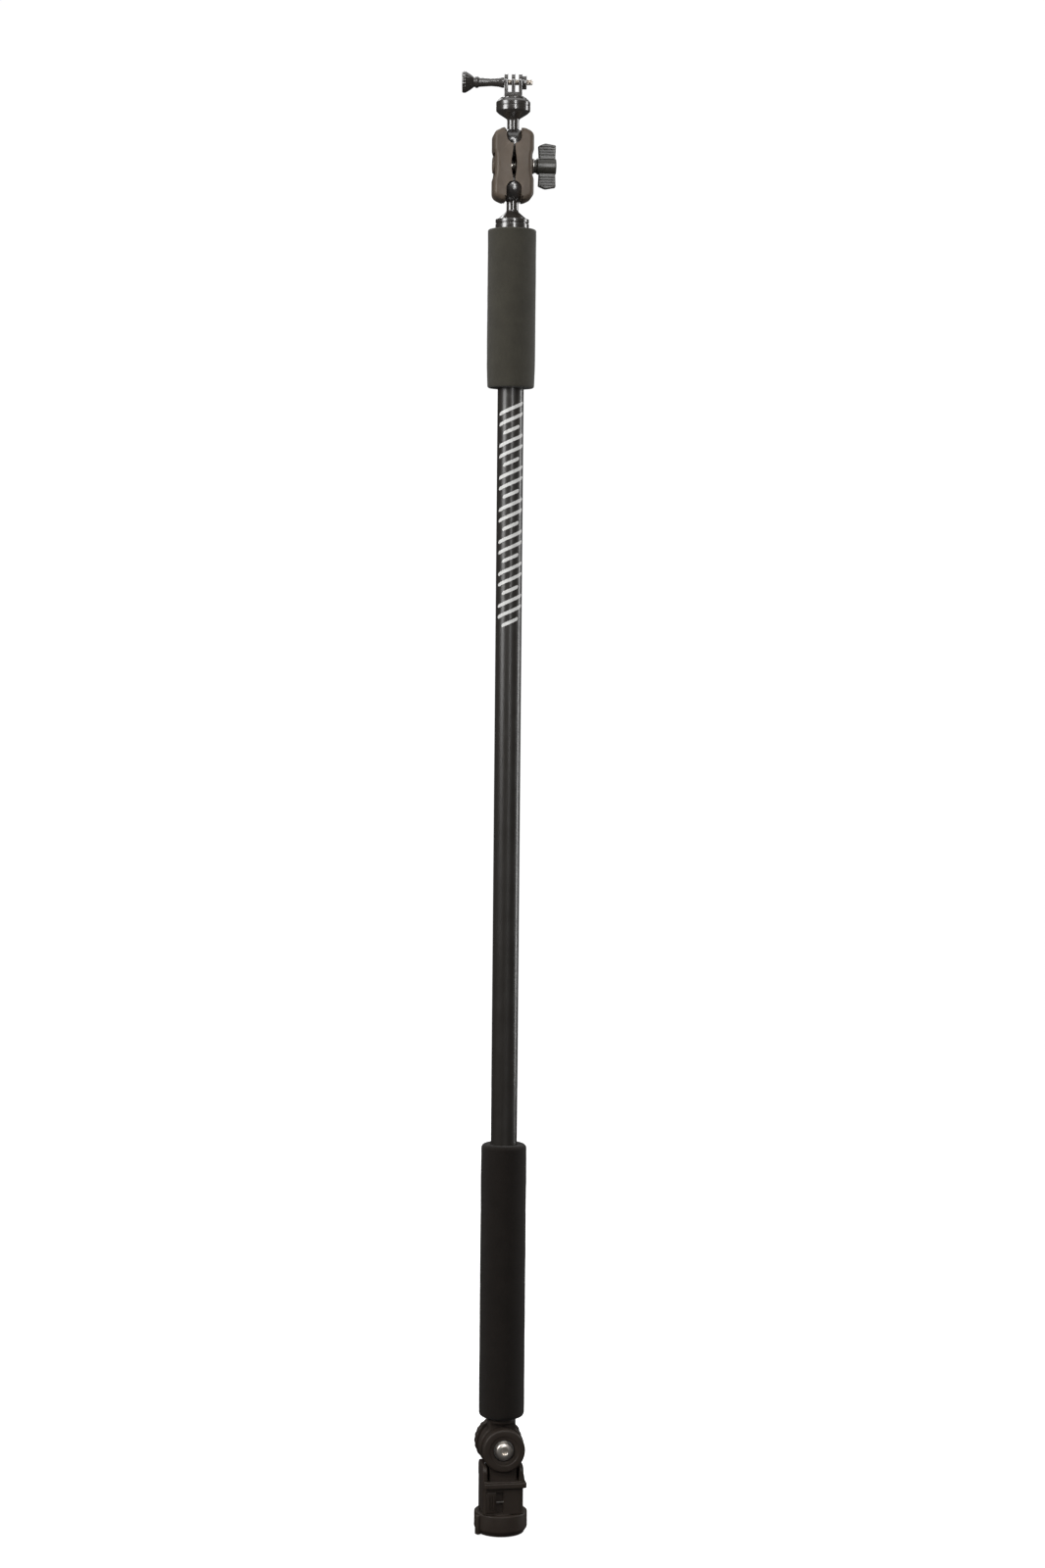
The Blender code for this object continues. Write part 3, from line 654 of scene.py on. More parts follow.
def housing():
    half_x, half_y = HOUSING_HALF_X, HOUSING_HALF_Y
    shell = block(
        (-half_x, half_x), (-half_y, half_y), (COLLAR_TOP + GAP, HOUSING_TOP), 0.6, 4.0
    )
    sleeve = rod(SLEEVE_R, 0, COLLAR_TOP + 2 * GAP, SIDES, 0.5)

    shoulder = arc((SHOULDER_Y, SHOULDER_Z), SHOULDER_R, 0, 90, 12)
    edge = SHOULDER_Y + SHOULDER_R
    wall = [(-edge, HOUSING_TOP - 1), (edge, HOUSING_TOP - 1), *shoulder]
    wall += [(-y, z) for y, z in reversed(shoulder)]
    inner = half_x - WALL_THICK
    walls = [sideways(wall, inner, half_x, 1.1, 4), sideways(wall, -half_x, -inner, 1.1, 4)]

    front, right = -half_y - 2.5, half_x + 2.2
    low, high = HOUSING_TOP - 5.4, HOUSING_TOP - 1.0
    ledge = [(-half_x + 0.6, front + 0.1, 1.5), (right, front, 2.0), (right, -10.2, 1.0)]
    ledge += [(half_x - 1, -9.5), (-half_x + 0.6, -9.5)]
    ledge = extruded(rounded(ledge), low, high, 0.8)
    gusset = [(half_x - 1.2, low + 1), (right - 0.5, high - 1), (right - 1.2, high + 2, 4.0)]
    gusset = upright(rounded([*gusset, (half_x - 1.2, 58)]), -15.2, -10.8, 0.6)

    shape = joined(
        shell, sleeve, *walls, cheek(-CHEEK_OUT, -CHEEK_IN), cheek(CHEEK_IN, CHEEK_OUT), ledge,
        gusset,
    )
    bolt_hole = shifted(turn_to(rod(ELBOW_HOLE_R, -30, 30), "Y"), z=ELBOW_Z)
    eye_room = rod(EYE_R + 0.8, -CHEEK_IN + GAP, CHEEK_IN - GAP, SIDES)
    eye_room = shifted(turn_to(eye_room, "Y"), z=ELBOW_Z)
    window = block(
        (WINDOW_X[0], WINDOW_X[1]), (-half_y - 3, WINDOW_FLOOR), (WINDOW_Z[0], WINDOW_Z[1])
    )
    (left, right), (low, high), rim = WINDOW_X, WINDOW_Z, 1.0
    bezel = [(left - rim, low - rim, 1.4), (right + rim, low - rim, 1.4)]
    bezel += [(right + rim, high + rim, 1.4), (left - rim, high + rim, 1.4)]
    bezel = upright(rounded(bezel), -half_y - 3, -half_y + 0.45)
    spring_bore = shifted(turn_to(rod(1.4, -2.6, 6.5, 24), "X"), y=LATCH_Y, z=LATCH_Z)
    groove = tube(SLEEVE_R + 2, SLEEVE_R - 1.3, 2.0, 3.6)
    shape = carved(shape, bolt_hole, eye_room, *spline_socket(), bezel, window, spring_bore, groove)
    flat_faces(base_piece("housing_shell", shape, "base", "base_housing"))


def collar():
    bore, outer, top = SLEEVE_R + 0.4, COLLAR_R, COLLAR_TOP
    profile = [(bore + 2, 0.4, 0.3), (outer - 3.2, 0.4, 2.4), (outer, 4.6, 2.6)]
    profile += [(outer, top, 0.8), (bore, top, 0.5), (bore, 4.0), (bore + 2, 4.0)]
    ring = turned(rounded(profile, 5), 2 * SIDES)
    lug = block((outer - 1.5, outer + 2.8), (-2.4, 2.4), (1.0, LUG_TOP), 0.7, 1.4)
    # Shallow finger grooves on the back of the ring
    grooves = []
    for step in range(-4, 5):
        finger = rod(1.5, 5.6, 13.4, 20, 0.6)
        grooves.append(spun(shifted(finger, x=outer + 1.15), BACK_AZIMUTH + 12 * step))
    ring = carved(joined(ring, spun(lug, LUG_AZIMUTH)), *grooves)
    base_piece("collar_ring", ring, "collar", "lock_collar")
    clip = carved(
        tube(19.4, 16.5, 2.3, 3.3, SIDES, 0.15), block((10, 25), (-3, 3), (0, 5))
    )
    base_piece("collar_clip", clip, "base", "collar_retaining_ring", "steel")


def latch():
    left, front = WINDOW_X[0] + GAP, -HOUSING_HALF_Y + 0.4
    low, high = WINDOW_Z[0] + GAP, WINDOW_Z[1] - GAP
    button = block((left, left + LATCH_WIDTH), (front, WINDOW_FLOOR - GAP), (low, high), 0.35, 0.3)
    ribs = []
    for rib in range(3):
        x = left + 1.8 + 2.0 * rib
        ribs.append(block((x, x + 0.7), (front - 0.9, front + 0.5), (low + 3, high - 3), 0.2, 0.3))
    base_piece("latch_button", joined(button, *ribs), "latch", "latch_slider")
    start, end = left + LATCH_WIDTH + GAP, 6.2
    spring = shifted(coil(0.85, 0.22, start, end, 13), y=LATCH_Y, z=LATCH_Z)
    spring = base_piece("latch_coil", spring, "base", "latch_spring", "steel")
    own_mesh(spring)


# Elbow: every shape lies along the elbow's axis, with its front at negative Y


def elbow_piece(name, shape, body, node, look="base"):
    return base_piece(name, turn_to(shape, "Y"), body, node, look, ELBOW)


def elbow_hardware():
    hole, back, face, floor = ELBOW_HOLE_R, -CHEEK_OUT - GAP, -18.4, -14.6
    profile = [(hole, back), (18.1, back, 0.4), (18.1, face, 1.7), (12.6, face, 0.25)]
    profile += [(12.2, face + 0.5, 0.2), (9.2, face + 0.5, 0.3), (9.2, floor), (hole, floor)]
    elbow_piece("disc_cap", turned(rounded(profile, 5), 128), "base", "elbow_front_disc")

    washer = tube(8.6, hole, floor - 1.2, floor - GAP, SIDES, 0.2)
    elbow_piece("bolt_washer", washer, "base", "elbow_bolt_washer", "steel")

    head = floor - 1.5
    profile = [(0, 22.6), (3.2, 22.6), (4.0, 21.8), (4.0, head), (7.4, head, 0.2)]
    profile += [(7.4, head - 1.5, 0.6), (6.5, head - 3.0, 2.0), (4.4, head - 3.9, 2.0)]
    profile += [(0, head - 3.9)]
    button = turned(on_axis(profile, 6), SIDES)
    socket = rod(2.9, head - 6, head - 1.6, 6)
    mouth = turned([(0, head - 3.4), (2.5, head - 3.4), (3.3, head - 4.2), (0, head - 4.2)], 48)
    elbow_piece(
        "bolt_button", carved(button, socket, mouth), "base", "elbow_bolt", "bright"
    )
    for name, node, side in (
        ("friction_washer_front", "elbow_washer_front", -1),
        ("friction_washer_back", "elbow_washer_back", 1),
    ):
        faces = sorted((side * 6.3, side * (CHEEK_IN - GAP)))
        washer = tube(14.0, 4.6, *faces, SIDES, 0.15)
        elbow_piece(name, washer, "mast", node, "brass")


def back_knob():
    start, thick, radius, flutes, depth = CHEEK_OUT + GAP, 9.0, 20.4, 24, 0.25
    outline = polar(lambda a: radius - depth * (1 - math.cos(flutes * a)), 12 * flutes)
    body = extruded(outline, start + 1.6, start + thick, 1.3, 4)
    hub = rod(12.0, start, start + 3, SIDES, 0.3)
    dish = turned([(0, 40), (13.5, 40), (13.5, start + thick), (11.2, start + thick - 0.8),
                   (0, start + thick - 0.8)], SIDES)
    hexagon = rod(7.4, start + 2.6, start + 20, 6)
    shape = carved(joined(body, hub), rod(ELBOW_HOLE_R, start - 2, start + 20), dish, hexagon)
    elbow_piece("knob_fluted", shape, "elbow_knob", "elbow_knob")
    hex_nut = nut(7.0, start + 2.9, start + 8.1, ELBOW_HOLE_R)
    elbow_piece("knob_hex_nut", hex_nut, "elbow_knob", "elbow_knob_nut", "steel")


def tongue():
    """The eye that turns in the elbow, with the plug that fills the end of the tube."""
    neck, shoulder = 11.5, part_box("lower_grip")[0][2] / MM - ELBOW_Z - 0.7
    start = math.degrees(math.acos(neck / EYE_R))
    outline = arc((0, 0), EYE_R, 180 - start, 360 + start, 72)
    outline += [(neck, shoulder - 1), (-neck, shoulder - 1)]
    plate = upright(outline, -6, 6, 0.8)
    inner = TUBE_R - TUBE_WALL - GAP
    plug = [(0, shoulder - 4), (12.0, shoulder - 4, 0.6), (12.0, shoulder, 0.2), (inner, shoulder)]
    plug += [(inner, shoulder + 38), (inner - 1.5, shoulder + 40), (0, shoulder + 40)]
    shape = joined(plate, turned(on_axis(plug)))
    pin_hole = shifted(turn_to(rod(PIN_HOLE_R, -20, 20, 24), "Y"), z=LOWER_PIN_Z - ELBOW_Z)
    shape = carved(shape, turn_to(rod(4.6, -20, 20), "Y"), pin_hole)
    base_piece("eye_block", shape, "mast", "elbow_tongue", group=ELBOW)


# Pole


def pole():
    profile = [(TUBE_R - TUBE_WALL, TUBE_BOTTOM, 0.3), (TUBE_R, TUBE_BOTTOM, 0.4)]
    profile += [(TUBE_R, TUBE_TOP, 0.4), (TUBE_R - TUBE_WALL, TUBE_TOP, 0.3)]
    shaft = turned(rounded(profile, 3), 128)
    for height in PIN_HEIGHTS:
        hole = spun(turn_to(rod(PIN_HOLE_R, -20, 20, 24), "Y"), BASE_YAW)
        shaft = carved(shaft, shifted(hole, z=height))
    piece("tube_shaft", shaft, POLE, "mast", ["mast_tube"], LOOKS["tube"])


def foam_grip(name, node, look, profile):
    """A foam sleeve whose skin is a little uneven and whose ends are softly turned in."""
    spaced = []
    outline = rounded(profile, 8)
    for (r0, z0), (r1, z1) in zip(outline, outline[1:] + outline[:1]):
        cuts = max(1, round(abs(z1 - z0) / 2.2)) if min(r0, r1) > TUBE_R + 1 else 1
        spaced += [(r0 + (r1 - r0) * c / cuts, z0 + (z1 - z0) * c / cuts) for c in range(cuts)]
    shape = turned(spaced, 112)
    for vert in shape.verts:
        flat = Vector((vert.co.x, vert.co.y, 0))
        if flat.length < (TUBE_R + 1) * MM:
            continue
        place = Vector((vert.co.x, vert.co.y, vert.co.z))
        swell = 0.16 * noise.noise(place * 42.0) + 0.07 * noise.noise(place * 160.0)
        vert.co += flat.normalized() * (swell - 0.1) * MM
    sleeve = piece(name, shape, POLE, "mast", [node], LOOKS[look], 60)


def grips():
    low, high = (corner[2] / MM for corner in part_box("lower_grip"))
    bore, radius = TUBE_R + GAP, LOWER_GRIP_R
    profile = [(bore, low, 0.6), (radius, low, 6.6)]
    profile += [(radius, high, 3.6), (bore, high, 0.8)]
    # The lower grip takes the foam copy painted darker as shade
    foam_grip("grip_lower_foam", "lower_grip", "black foam", profile)

    low, high = (corner[2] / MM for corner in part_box("upper_grip"))
    radius = UPPER_GRIP_R
    profile = [(bore, low, 0.6), (radius - 0.7, low, 1.8), (radius, low + 18, 20)]
    profile += [(radius, high, 1.7), (bore, high, 0.8)]
    # The upper grip takes the foam copy painted lighter as light
    foam_grip("grip_upper_foam", "upper_grip", "grey foam", profile)


def print_bars():
    """Plain slanted bars printed on the front of the tube."""
    bottom, top, pitch = 767.0, 966.0, 9.05
    reach, slant, thick, facing = 62.0, 10.5, 3.1, 6.0
    inner, outer = TUBE_R - 0.05, TUBE_R + 0.05
    shape = bmesh.new()
    count = int((top - bottom - slant) / pitch) + 1
    steps = 24
    for bar in range(count):
        half = reach if bar % 3 else reach * 0.62
        middle = bottom + slant / 2 + pitch * bar
        rows = []
        for step in range(steps + 1):
            part = 2 * step / steps - 1
            angle = math.radians(-90 + facing + half * part)
            # Rounded ends: the bar gets thinner over its last few degrees
            spare = (1 - abs(part)) * math.radians(half) * TUBE_R
            width = thick / 2 * math.sqrt(max(0.04, 1 - max(0.0, 1 - spare / (thick / 2)) ** 2))
            height = middle + slant / 2 * part * half / reach
            row = []
            for radius, side in ((inner, -1), (outer, -1), (outer, 1), (inner, 1)):
                spot = (radius * math.cos(angle), radius * math.sin(angle), height + side * width)
                row.append(shape.verts.new(Vector(spot) * MM))
            rows.append(row)
        for low, high in zip(rows, rows[1:]):
            for side in range(4):
                after = (side + 1) % 4
                shape.faces.new((low[side], low[after], high[after], high[side]))
        shape.faces.new(rows[0][::-1])
        shape.faces.new(rows[-1])
    bmesh.ops.recalc_face_normals(shape, faces=shape.faces)
    piece("tube_print_bars", shape, POLE, "mast", [], LOOKS["ink"])


# Ball studs

BALL_R, CORE_R, NECK_R = 12.7, 9.6, 5.0


def stud(flange, screw_r, screw_depth):
    """A stud with its ball's centre at height 0, its neck up and its flange at the top."""
    start = math.degrees(math.acos(NECK_R / CORE_R))
    core = arc((0, 0), CORE_R, -90, start, 20)[1:]
    end = flange[-1][1]
    hole = [(screw_r + GAP, end), (screw_r + GAP, end - screw_depth), (0, end - screw_depth)]
    return turned(on_axis([(0, -CORE_R), *core, (NECK_R, 19.0, 2.5), *flange, *hole], 4), 128)


def cover():
    """The rubber shell round a stud's core, with a rolled lip where the neck leaves it."""
    inner, mouth = CORE_R + GAP, NECK_R + GAP
    outside = arc((0, 0), BALL_R, -90, math.degrees(math.acos((mouth + 0.5) / BALL_R)), 36)[1:]
    inside = arc((0, 0), inner, math.degrees(math.acos(mouth / inner)), -90, 20)[:-1]
    lip = [(mouth + 0.1, outside[-1][1] - 0.1)]
    return turned([(0, -BALL_R), *outside, *lip, *inside, (0, -inner)], 112)


def upended(shape):
    return spun(shape, 180, "X")


def ball_studs():
    seat = LOWER_BALL_Z - TUBE_TOP - GAP
    flange = [(5.4, 20.4, 1.6), (12.3, 26.4, 1.0), (14.2, 26.8, 0.5), (14.2, 29.6, 0.35)]
    flange += [(13.45, 29.9, 0.15), (13.45, 30.5, 0.15), (14.2, 30.8, 0.35), (14.2, seat, 0.5)]
    shape = upended(stud(flange, 3.0, 12.0))
    piece("stud_lower", shape, LOWER_BALL, "lower_ball", ["lower_stud"],
          LOOKS["gloss"])
    piece("cover_lower", upended(cover()), LOWER_BALL, "lower_ball", ["lower_ball"],
          LOOKS["rubber"])

    top = SWIVEL_Z - UPPER_BALL_Z
    flange = [(5.4, 20.5, 1.6), (12.3, 25.0, 0.8), (14.5, 27.2, 0.6), (14.5, 31.0, 0.2)]
    flange += [(14.2, 31.25, 0.1), (14.2, 31.6, 0.1), (14.5, 31.85, 0.2), (14.5, 34.7, 0.6)]
    flange += [(12.6, top, 0.4)]
    piece("stud_upper", stud(flange, 3.1, 12.5), UPPER_BALL, "upper_ball", ["upper_stud"],
          LOOKS["gloss"])
    piece("cover_upper", cover(), UPPER_BALL, "upper_ball", ["upper_ball"],
          LOOKS["rubber"])


# Double-socket arm, drawn about its own middle

ARM_HALF, ARM_EDGE, ARM_DEPTH = 31.0, 17.1, 14.5
PARTING = 0.9
BALL_SPACING = UPPER_BALL_Z - LOWER_BALL_Z
NOTCH_R, LOWER_NOTCH_DEPTH, UPPER_NOTCH_DEPTH = 6.5, 16.6, 13.8
ARM_HOLE_R = 3.3


def arm_outline():
    """The outline of the right half in X and Z, with a relieved parting face."""
    half, edge = ARM_HALF, ARM_EDGE
    upper = [(edge - 1.4, 5.5, 2.0), (edge - 1.1, 9.0, 4.0), (edge, 12.5, 6.0)]
    upper += [(edge, half - 3.6, 7.5), (edge - 7.6, half, 8.0)]
    upper += [(PARTING, half, 0.6), (PARTING, 13.5), (PARTING + 0.9, 7.0), (PARTING + 1.5, 2.5)]
    lower = [(x, -z, *fillet) for x, z, *fillet in reversed(upper)]
    return rounded(upper + lower, 7)


def arm_notch(end):
    """The notch in an end of the arm, through which the ball's neck swings."""
    depth = UPPER_NOTCH_DEPTH if end > 0 else LOWER_NOTCH_DEPTH
    outline = arc((0, ARM_HALF - depth + NOTCH_R), NOTCH_R, 180, 360, 24)
    outline += [(NOTCH_R, ARM_HALF + 5), (-NOTCH_R, ARM_HALF + 5)]
    return upright([(x, end * z) for x, z in outline], -2 * ARM_DEPTH, 2 * ARM_DEPTH)


def arm_half(name, node, body, side):
    """One half of the arm: side is -1 for the left one, which holds the bolt's head."""
    outline = [(side * x, -z) for x, z in arm_outline()]
    shape = extruded(outline, -ARM_DEPTH, ARM_DEPTH)
    round_rims(shape, 4.4, 7, lambda at: side * at.x > 7.6 * MM)
    shape = turn_to(shape, "Y")
    # The rib that keys the halves together, in front of the bolt
    if side < 0:
        shape = joined(shape, block((-4.0, 3.0), (5.8, 8.6), (-13, 13), 0.3))
    else:
        shape = carved(shape, block((0, 3.4), (5.4, 9.0), (-14, 14)))
    sockets = []
    for end in (-1, 1):
        sockets += [ball(BALL_R + GAP, end * BALL_SPACING / 2, 80), arm_notch(end)]
    # Pockets above and below the boss that takes the bolt
    reach = ARM_EDGE - 2.6
    pockets = []
    for end in (-1, 1):
        low, high = sorted((end * 6.6, end * 10.4))
        outline = [(reach, low, 0.8), (ARM_EDGE + 4, low), (ARM_EDGE + 4, high)]
        outline = [(side * x, z) for x, z in rounded([*outline, (reach, high, 0.8)])]
        pockets.append(upright(outline, -8.5, 8.5, 0.5, 2))
    bolt_hole, spring_room = rod(ARM_HOLE_R, -30, 30), rod(5.2, -5.9, 5.9)
    shape = carved(
        shape, *sockets, *pockets, turn_to(bolt_hole, "X"), turn_to(spring_room, "X")
    )
    if side < 0:
        boss = tube(7.0, 5.0, -ARM_EDGE - 0.1, -12.7, FEW_SIDES, 0.4)
        shape = joined(shape, turn_to(boss, "X"))
        shape = carved(shape, turn_to(rod(6.2, -30, -12.6, 6), "X"))
    else:
        boss = tube(7.4, ARM_HOLE_R, ARM_EDGE - 4, ARM_EDGE - 0.4, SIDES, 0.4)
        shape = joined(shape, turn_to(boss, "X"))
    flat_faces(piece(name, shape, ARM, body, [node], LOOKS["arm"]))


def arm():
    arm_half("arm_left_shell", "arm_half_left", "arm", -1)
    arm_half("arm_right_shell", "arm_half_right", "arm_clamp", 1)
    shank = joined(rod(3.0, -14.0, 33.0, FEW_SIDES, 0.5), rod(5.8, -16.4, -12.9, 6))
    piece("arm_screw", turn_to(shank, "X"), ARM, "arm", ["arm_bolt"], LOOKS["steel"])
    piece("arm_coil", coil(4.15, 0.5, -5.6, 5.6, 7), ARM, "arm", ["arm_spring"],
          LOOKS["bright"])


KNOB_START, KNOB_END, KNOB_HUB_R = 18.3, 36.8, 7.0


def wing(end):
    """A wing of the clamp knob, above or below its hub, with a crowned and grooved tip."""
    tip, start = 19.5, KNOB_START + 2.7
    outline = [(start + 1.4, 2.0), (KNOB_END - 1.2, 2.0), (KNOB_END - 0.6, KNOB_HUB_R, 0.5)]
    outline += [(KNOB_END - 0.2, tip - 1.6, 1.2), (start + 6.5, tip, 5.0)]
    outline += [(start + 0.6, tip - 2.4, 1.2)]
    outline = [(x, end * z) for x, z in rounded(outline)]
    blade = upright(outline, -2.8, 2.8, 0.8)
    grooves = []
    for step in range(4):
        height = end * (9.5 + 2.3 * step)
        for face in (-1, 1):
            bar = turn_to(rod(0.62, start + 1.6, KNOB_END - 1.4, 16, 0.5), "X")
            grooves.append(shifted(bar, y=face * 3.0, z=height))
    return carved(blade, *grooves)


def clamp_knob():
    washer = tube(6.6, ARM_HOLE_R, ARM_EDGE - 0.1, KNOB_START - GAP, SIDES, 0.15)
    piece("clamp_ring", turn_to(washer, "X"), ARM, "arm_clamp", ["clamp_washer"],
          LOOKS["steel"])
    profile = [(0, KNOB_START), (5.8, KNOB_START, 0.3), (5.8, KNOB_START + 1.4, 0.3)]
    profile += [(KNOB_HUB_R, KNOB_START + 2.8, 0.6), (KNOB_HUB_R, KNOB_END, 1.1), (0, KNOB_END)]
    hub = turned(on_axis(profile, 4), SIDES)
    shape = joined(turn_to(hub, "X"), wing(1), wing(-1))
    shape = carved(shape, turn_to(rod(4.9, KNOB_START - 2, KNOB_END - 2.6), "X"))
    flat_faces(
        piece("knob_wings", shape, ARM, "clamp_knob", ["clamp_knob"], LOOKS["knob"])
    )
    insert = tube(4.6, ARM_HOLE_R, KNOB_START + 0.2, KNOB_END - 3.0, FEW_SIDES, 0.2)
    piece("knob_insert", turn_to(insert, "X"), ARM, "clamp_knob", ["clamp_knob_insert"],
          LOOKS["brass"])


# Camera adapter and thumb screw


PRONG, PRONG_PITCH, PRONG_R = 3.0, 6.1, 7.5
SLOT_FLOOR_Z = 1221.7


def camera_adapter():
    half, pivot, slot_floor = PRONG_PITCH + PRONG / 2, THUMB_Z - SWIVEL_Z, SLOT_FLOOR_Z - SWIVEL_Z
    prongs = []
    for prong in (-1, 0, 1):
        middle = prong * PRONG_PITCH
        outline = [(-PRONG_R, 1.2), (PRONG_R, 1.2), *arc((0, pivot), PRONG_R, 0, 180, 40)]
        prongs.append(sideways(outline, middle - PRONG / 2, middle + PRONG / 2, 0.45))
    heel = block((-half, half), (-PRONG_R, PRONG_R), (1.2, slot_floor), 0.3, 0.6)
    foot = [(3.4, GAP), (11.4, GAP, 0.3), (11.4, GAP + 0.9, 0.4), (8.6, GAP + 2.6, 1.0)]
    foot += [(3.4, GAP + 2.6)]
    boss = shifted(turn_to(rod(5.9, half - 1.0, half + 3.6, SIDES, 0.5), "X"), z=pivot)
    shape = joined(heel, *prongs, turned(rounded(foot, 4)), boss)
    bore = shifted(turn_to(rod(2.8, -20, 20), "X"), z=pivot)
    hexagon = shifted(turn_to(rod(5.0, half + 0.4, half + 9, 6), "X"), z=pivot)
    shape = carved(shape, bore, hexagon, rod(3.4, -2, 4.3))
    piece("adapter_prongs", shape, SWIVEL, "camera_adapter", ["camera_adapter"],
          LOOKS["gloss"])
    hex_nut = shifted(turn_to(nut(4.62, half + 0.7, half + 3.5, 2.8), "X"), z=pivot)
    piece("adapter_hex_nut", hex_nut, SWIVEL, "camera_adapter", ["adapter_nut"],
          LOOKS["bright"])


def thumb_screw():
    """A ribbed, bell-shaped head on a waisted stem, and the threaded rod."""
    profile = [(0, -42.9), (6.6, -42.9, 0.4), (7.4, -43.5, 0.3), (8.6, -43.5, 0.4)]
    profile += [(9.15, -42.7, 0.5), (9.15, -40.8, 1.0), (6.9, -37.0, 3.0), (5.1, -34.7, 0.5)]
    profile += [(4.2, -33.6, 0.3), (4.2, -32.6, 0.3), (4.95, -32.0, 0.4), (4.95, -30.6, 0.4)]
    profile += [(4.0, -29.2, 1.0), (3.3, -19.0, 9.0), (3.8, -12.5, 4.0), (4.6, -9.6, 0.5)]
    profile += [(4.6, -7.9, 0.4), (2.8, -7.9), (2.8, -30.3), (0, -30.3)]
    line = on_axis(profile, 5)
    spaced = []
    for (r0, z0), (r1, z1) in zip(line, line[1:]):
        cuts = max(1, round(abs(z1 - z0) / 0.7)) if z0 < -34 and r0 > 4.5 else 1
        spaced += [(r0 + (r1 - r0) * c / cuts, z0 + (z1 - z0) * c / cuts) for c in range(cuts)]
    shape = turned([*spaced, line[-1]], 160)
    for vert in shape.verts:
        radius, height = math.hypot(vert.co.x, vert.co.y) / MM, vert.co.z / MM
        if height > -36.0 or radius < 6.3 or height < -43.3:
            continue
        wave = 0.5 - 0.5 * math.cos(20 * math.atan2(vert.co.y, vert.co.x))
        shrink = 1 - 0.42 * wave * min(1.0, (-36.0 - height) / 3) / radius
        vert.co.x *= shrink
        vert.co.y *= shrink
    shape = turn_to(shape, "X")
    piece("screw_bell_head", shape, THUMB, "thumb_screw", ["thumb_screw_knob"],
          LOOKS["gloss"])
    plain = rod(2.4, -30.0, -9.0, 32, 0.3)
    thread = threaded(2.5, 0.8, 0.42, -9.4, 16.4)
    shape = turn_to(joined(plain, thread), "X")
    piece("screw_threaded_rod", shape, THUMB, "thumb_screw", ["thumb_screw_rod"],
          LOOKS["bright"])


def carried_over():
    """Materials for the CAD nodes that stay, all of them inside other pieces."""
    finishes = {
        "lower_pin": "steel",
        "upper_pin": "steel",
        "top_plug": "base",
        "top_seal_ring": "rubber",
        "top_plug_screw": "steel",
        "adapter_stud": "steel",
    }
    for node, look in finishes.items():
        thing = frame["nodes"][node]
        for slot in thing.material_slots:
            slot.link = "OBJECT"
            slot.material = LOOKS[look]


# Stage, light and camera


FLOOR_R_M, SURROUND_R_M = 2.4, 14.0


def stage_piece(name, shape, look):
    mesh = bpy.data.meshes.new(name)
    shape.to_mesh(mesh)
    shape.free()
    mesh.materials.append(look.material)
    thing = bpy.data.objects.new(name, mesh)
    bpy.context.collection.objects.link(thing)
    return thing


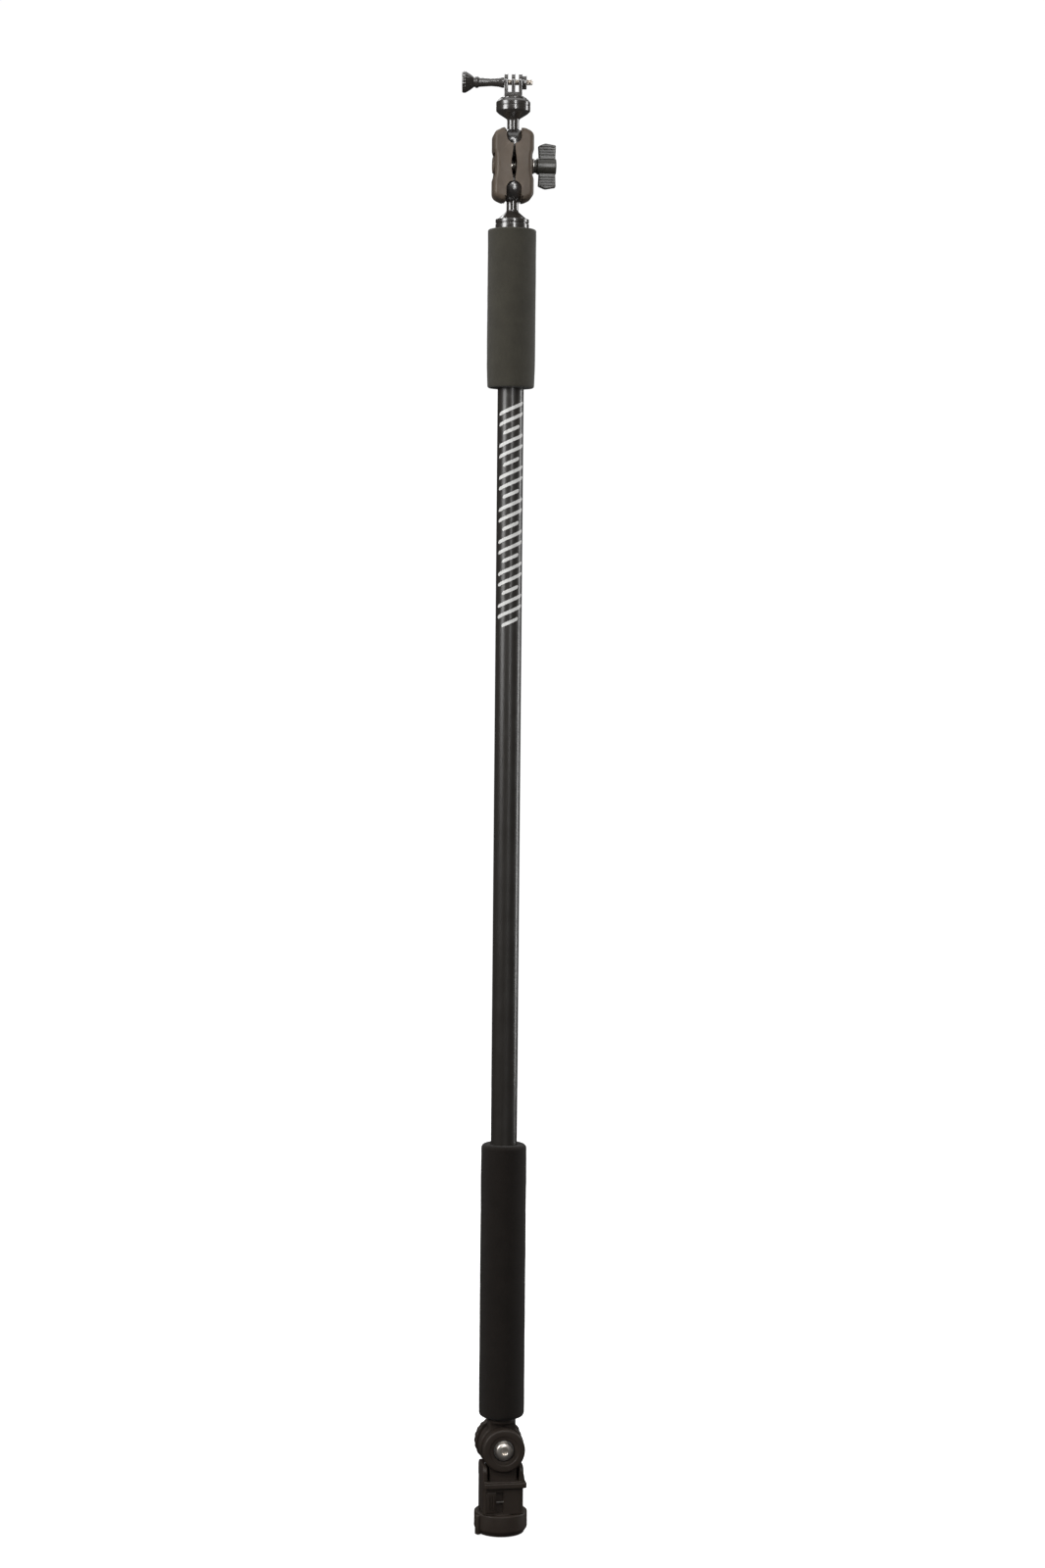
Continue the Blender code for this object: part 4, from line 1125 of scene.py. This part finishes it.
def studio():
    """A white floor and surround that only the camera sees, so they don't light the black parts,
    and a faint fill."""
    paper = Look("floor_paper", 0.9, Specular_IOR_Level=0.1, Emission_Strength=0.8)
    paper.shader.inputs["Emission Color"].default_value = (1, 1, 1, 1)
    tone = paper.ramp(paper.noise(3.0, 2.0), 0.3, 0.7)
    paper.colour(paper.blend(tone, (0.90, 0.90, 0.90), (0.92, 0.92, 0.92)))
    disc = bmesh.new()
    bmesh.ops.create_circle(disc, cap_ends=True, segments=96, radius=FLOOR_R_M)
    floor = stage_piece("floor", disc, paper)
    floor.location.z = -GAP * MM
    floor.visible_diffuse = floor.visible_glossy = False

    white = Look("surround_white", 1.0, Emission_Strength=1.02)
    white.colour((0, 0, 0, 1))
    white.shader.inputs["Emission Color"].default_value = (1, 1, 1, 1)
    shell = bmesh.new()
    bmesh.ops.create_uvsphere(shell, u_segments=48, v_segments=24, radius=SURROUND_R_M)
    surround = stage_piece("surround", shell, white)
    for ray in ("diffuse", "glossy", "transmission", "volume_scatter", "shadow"):
        setattr(surround, f"visible_{ray}", False)

    world = bpy.data.worlds.new("soft_fill")
    world.use_nodes = True
    background = world.node_tree.nodes["Background"]
    background.inputs["Color"].default_value = (0.98, 0.99, 1.0, 1)
    background.inputs["Strength"].default_value = 0.05
    bpy.context.scene.world = world


def softbox(name, place_m, aim_m, width_m, height_m, watts):
    data = bpy.data.lights.new(name, "AREA")
    data.shape = "RECTANGLE"
    data.size, data.size_y = width_m, height_m
    data.energy = watts
    light = bpy.data.objects.new(name, data)
    bpy.context.collection.objects.link(light)
    light.location = place_m
    direction = Vector(aim_m) - Vector(place_m)
    light.rotation_euler = direction.to_track_quat("-Z", "Y").to_euler()


def lights():
    softbox("key_left", (-1.75, -1.25, 1.5), (0, 0, 1.0), 1.0, 1.5, 34)
    softbox("front_high", (-0.1, -2.2, 2.5), (0, 0, 1.0), 1.1, 0.35, 12)
    softbox("strip_front", (0.62, -2.1, 1.45), (0, 0, 1.0), 0.26, 1.5, 15)
    softbox("back_fill", (-0.3, 1.9, 2.8), (0, 0, 0.8), 1.4, 0.9, 26)
    softbox("rim_right", (1.9, 0.6, 0.8), (0, 0, 0.5), 0.5, 1.8, 20)
    softbox("overhead", (0, 0.3, 3.4), (0, 0, 0), 3.6, 3.6, 36)


def camera():
    data = bpy.data.cameras.new("camera")
    data.sensor_fit = "AUTO"
    data.sensor_width = 36.0
    data.lens = 68.8
    data.shift_y = -0.106
    thing = bpy.data.objects.new("camera", data)
    bpy.context.collection.objects.link(thing)
    thing.location = (0.0118, -2.547, 0.776)
    level = Matrix.Rotation(math.radians(90), 3, "X")
    lean = Matrix.Rotation(math.radians(0.52), 3, "Z")
    thing.rotation_euler = (level @ lean).to_euler()
    bpy.context.scene.camera = thing
    bpy.context.scene.view_settings.view_transform = "Standard"
    bpy.context.scene.view_settings.look = "None"


housing()
collar()
latch()
elbow_hardware()
back_knob()
tongue()
pole()
grips()
print_bars()
ball_studs()
arm()
clamp_knob()
camera_adapter()
thumb_screw()
carried_over()
studio()
lights()
camera()
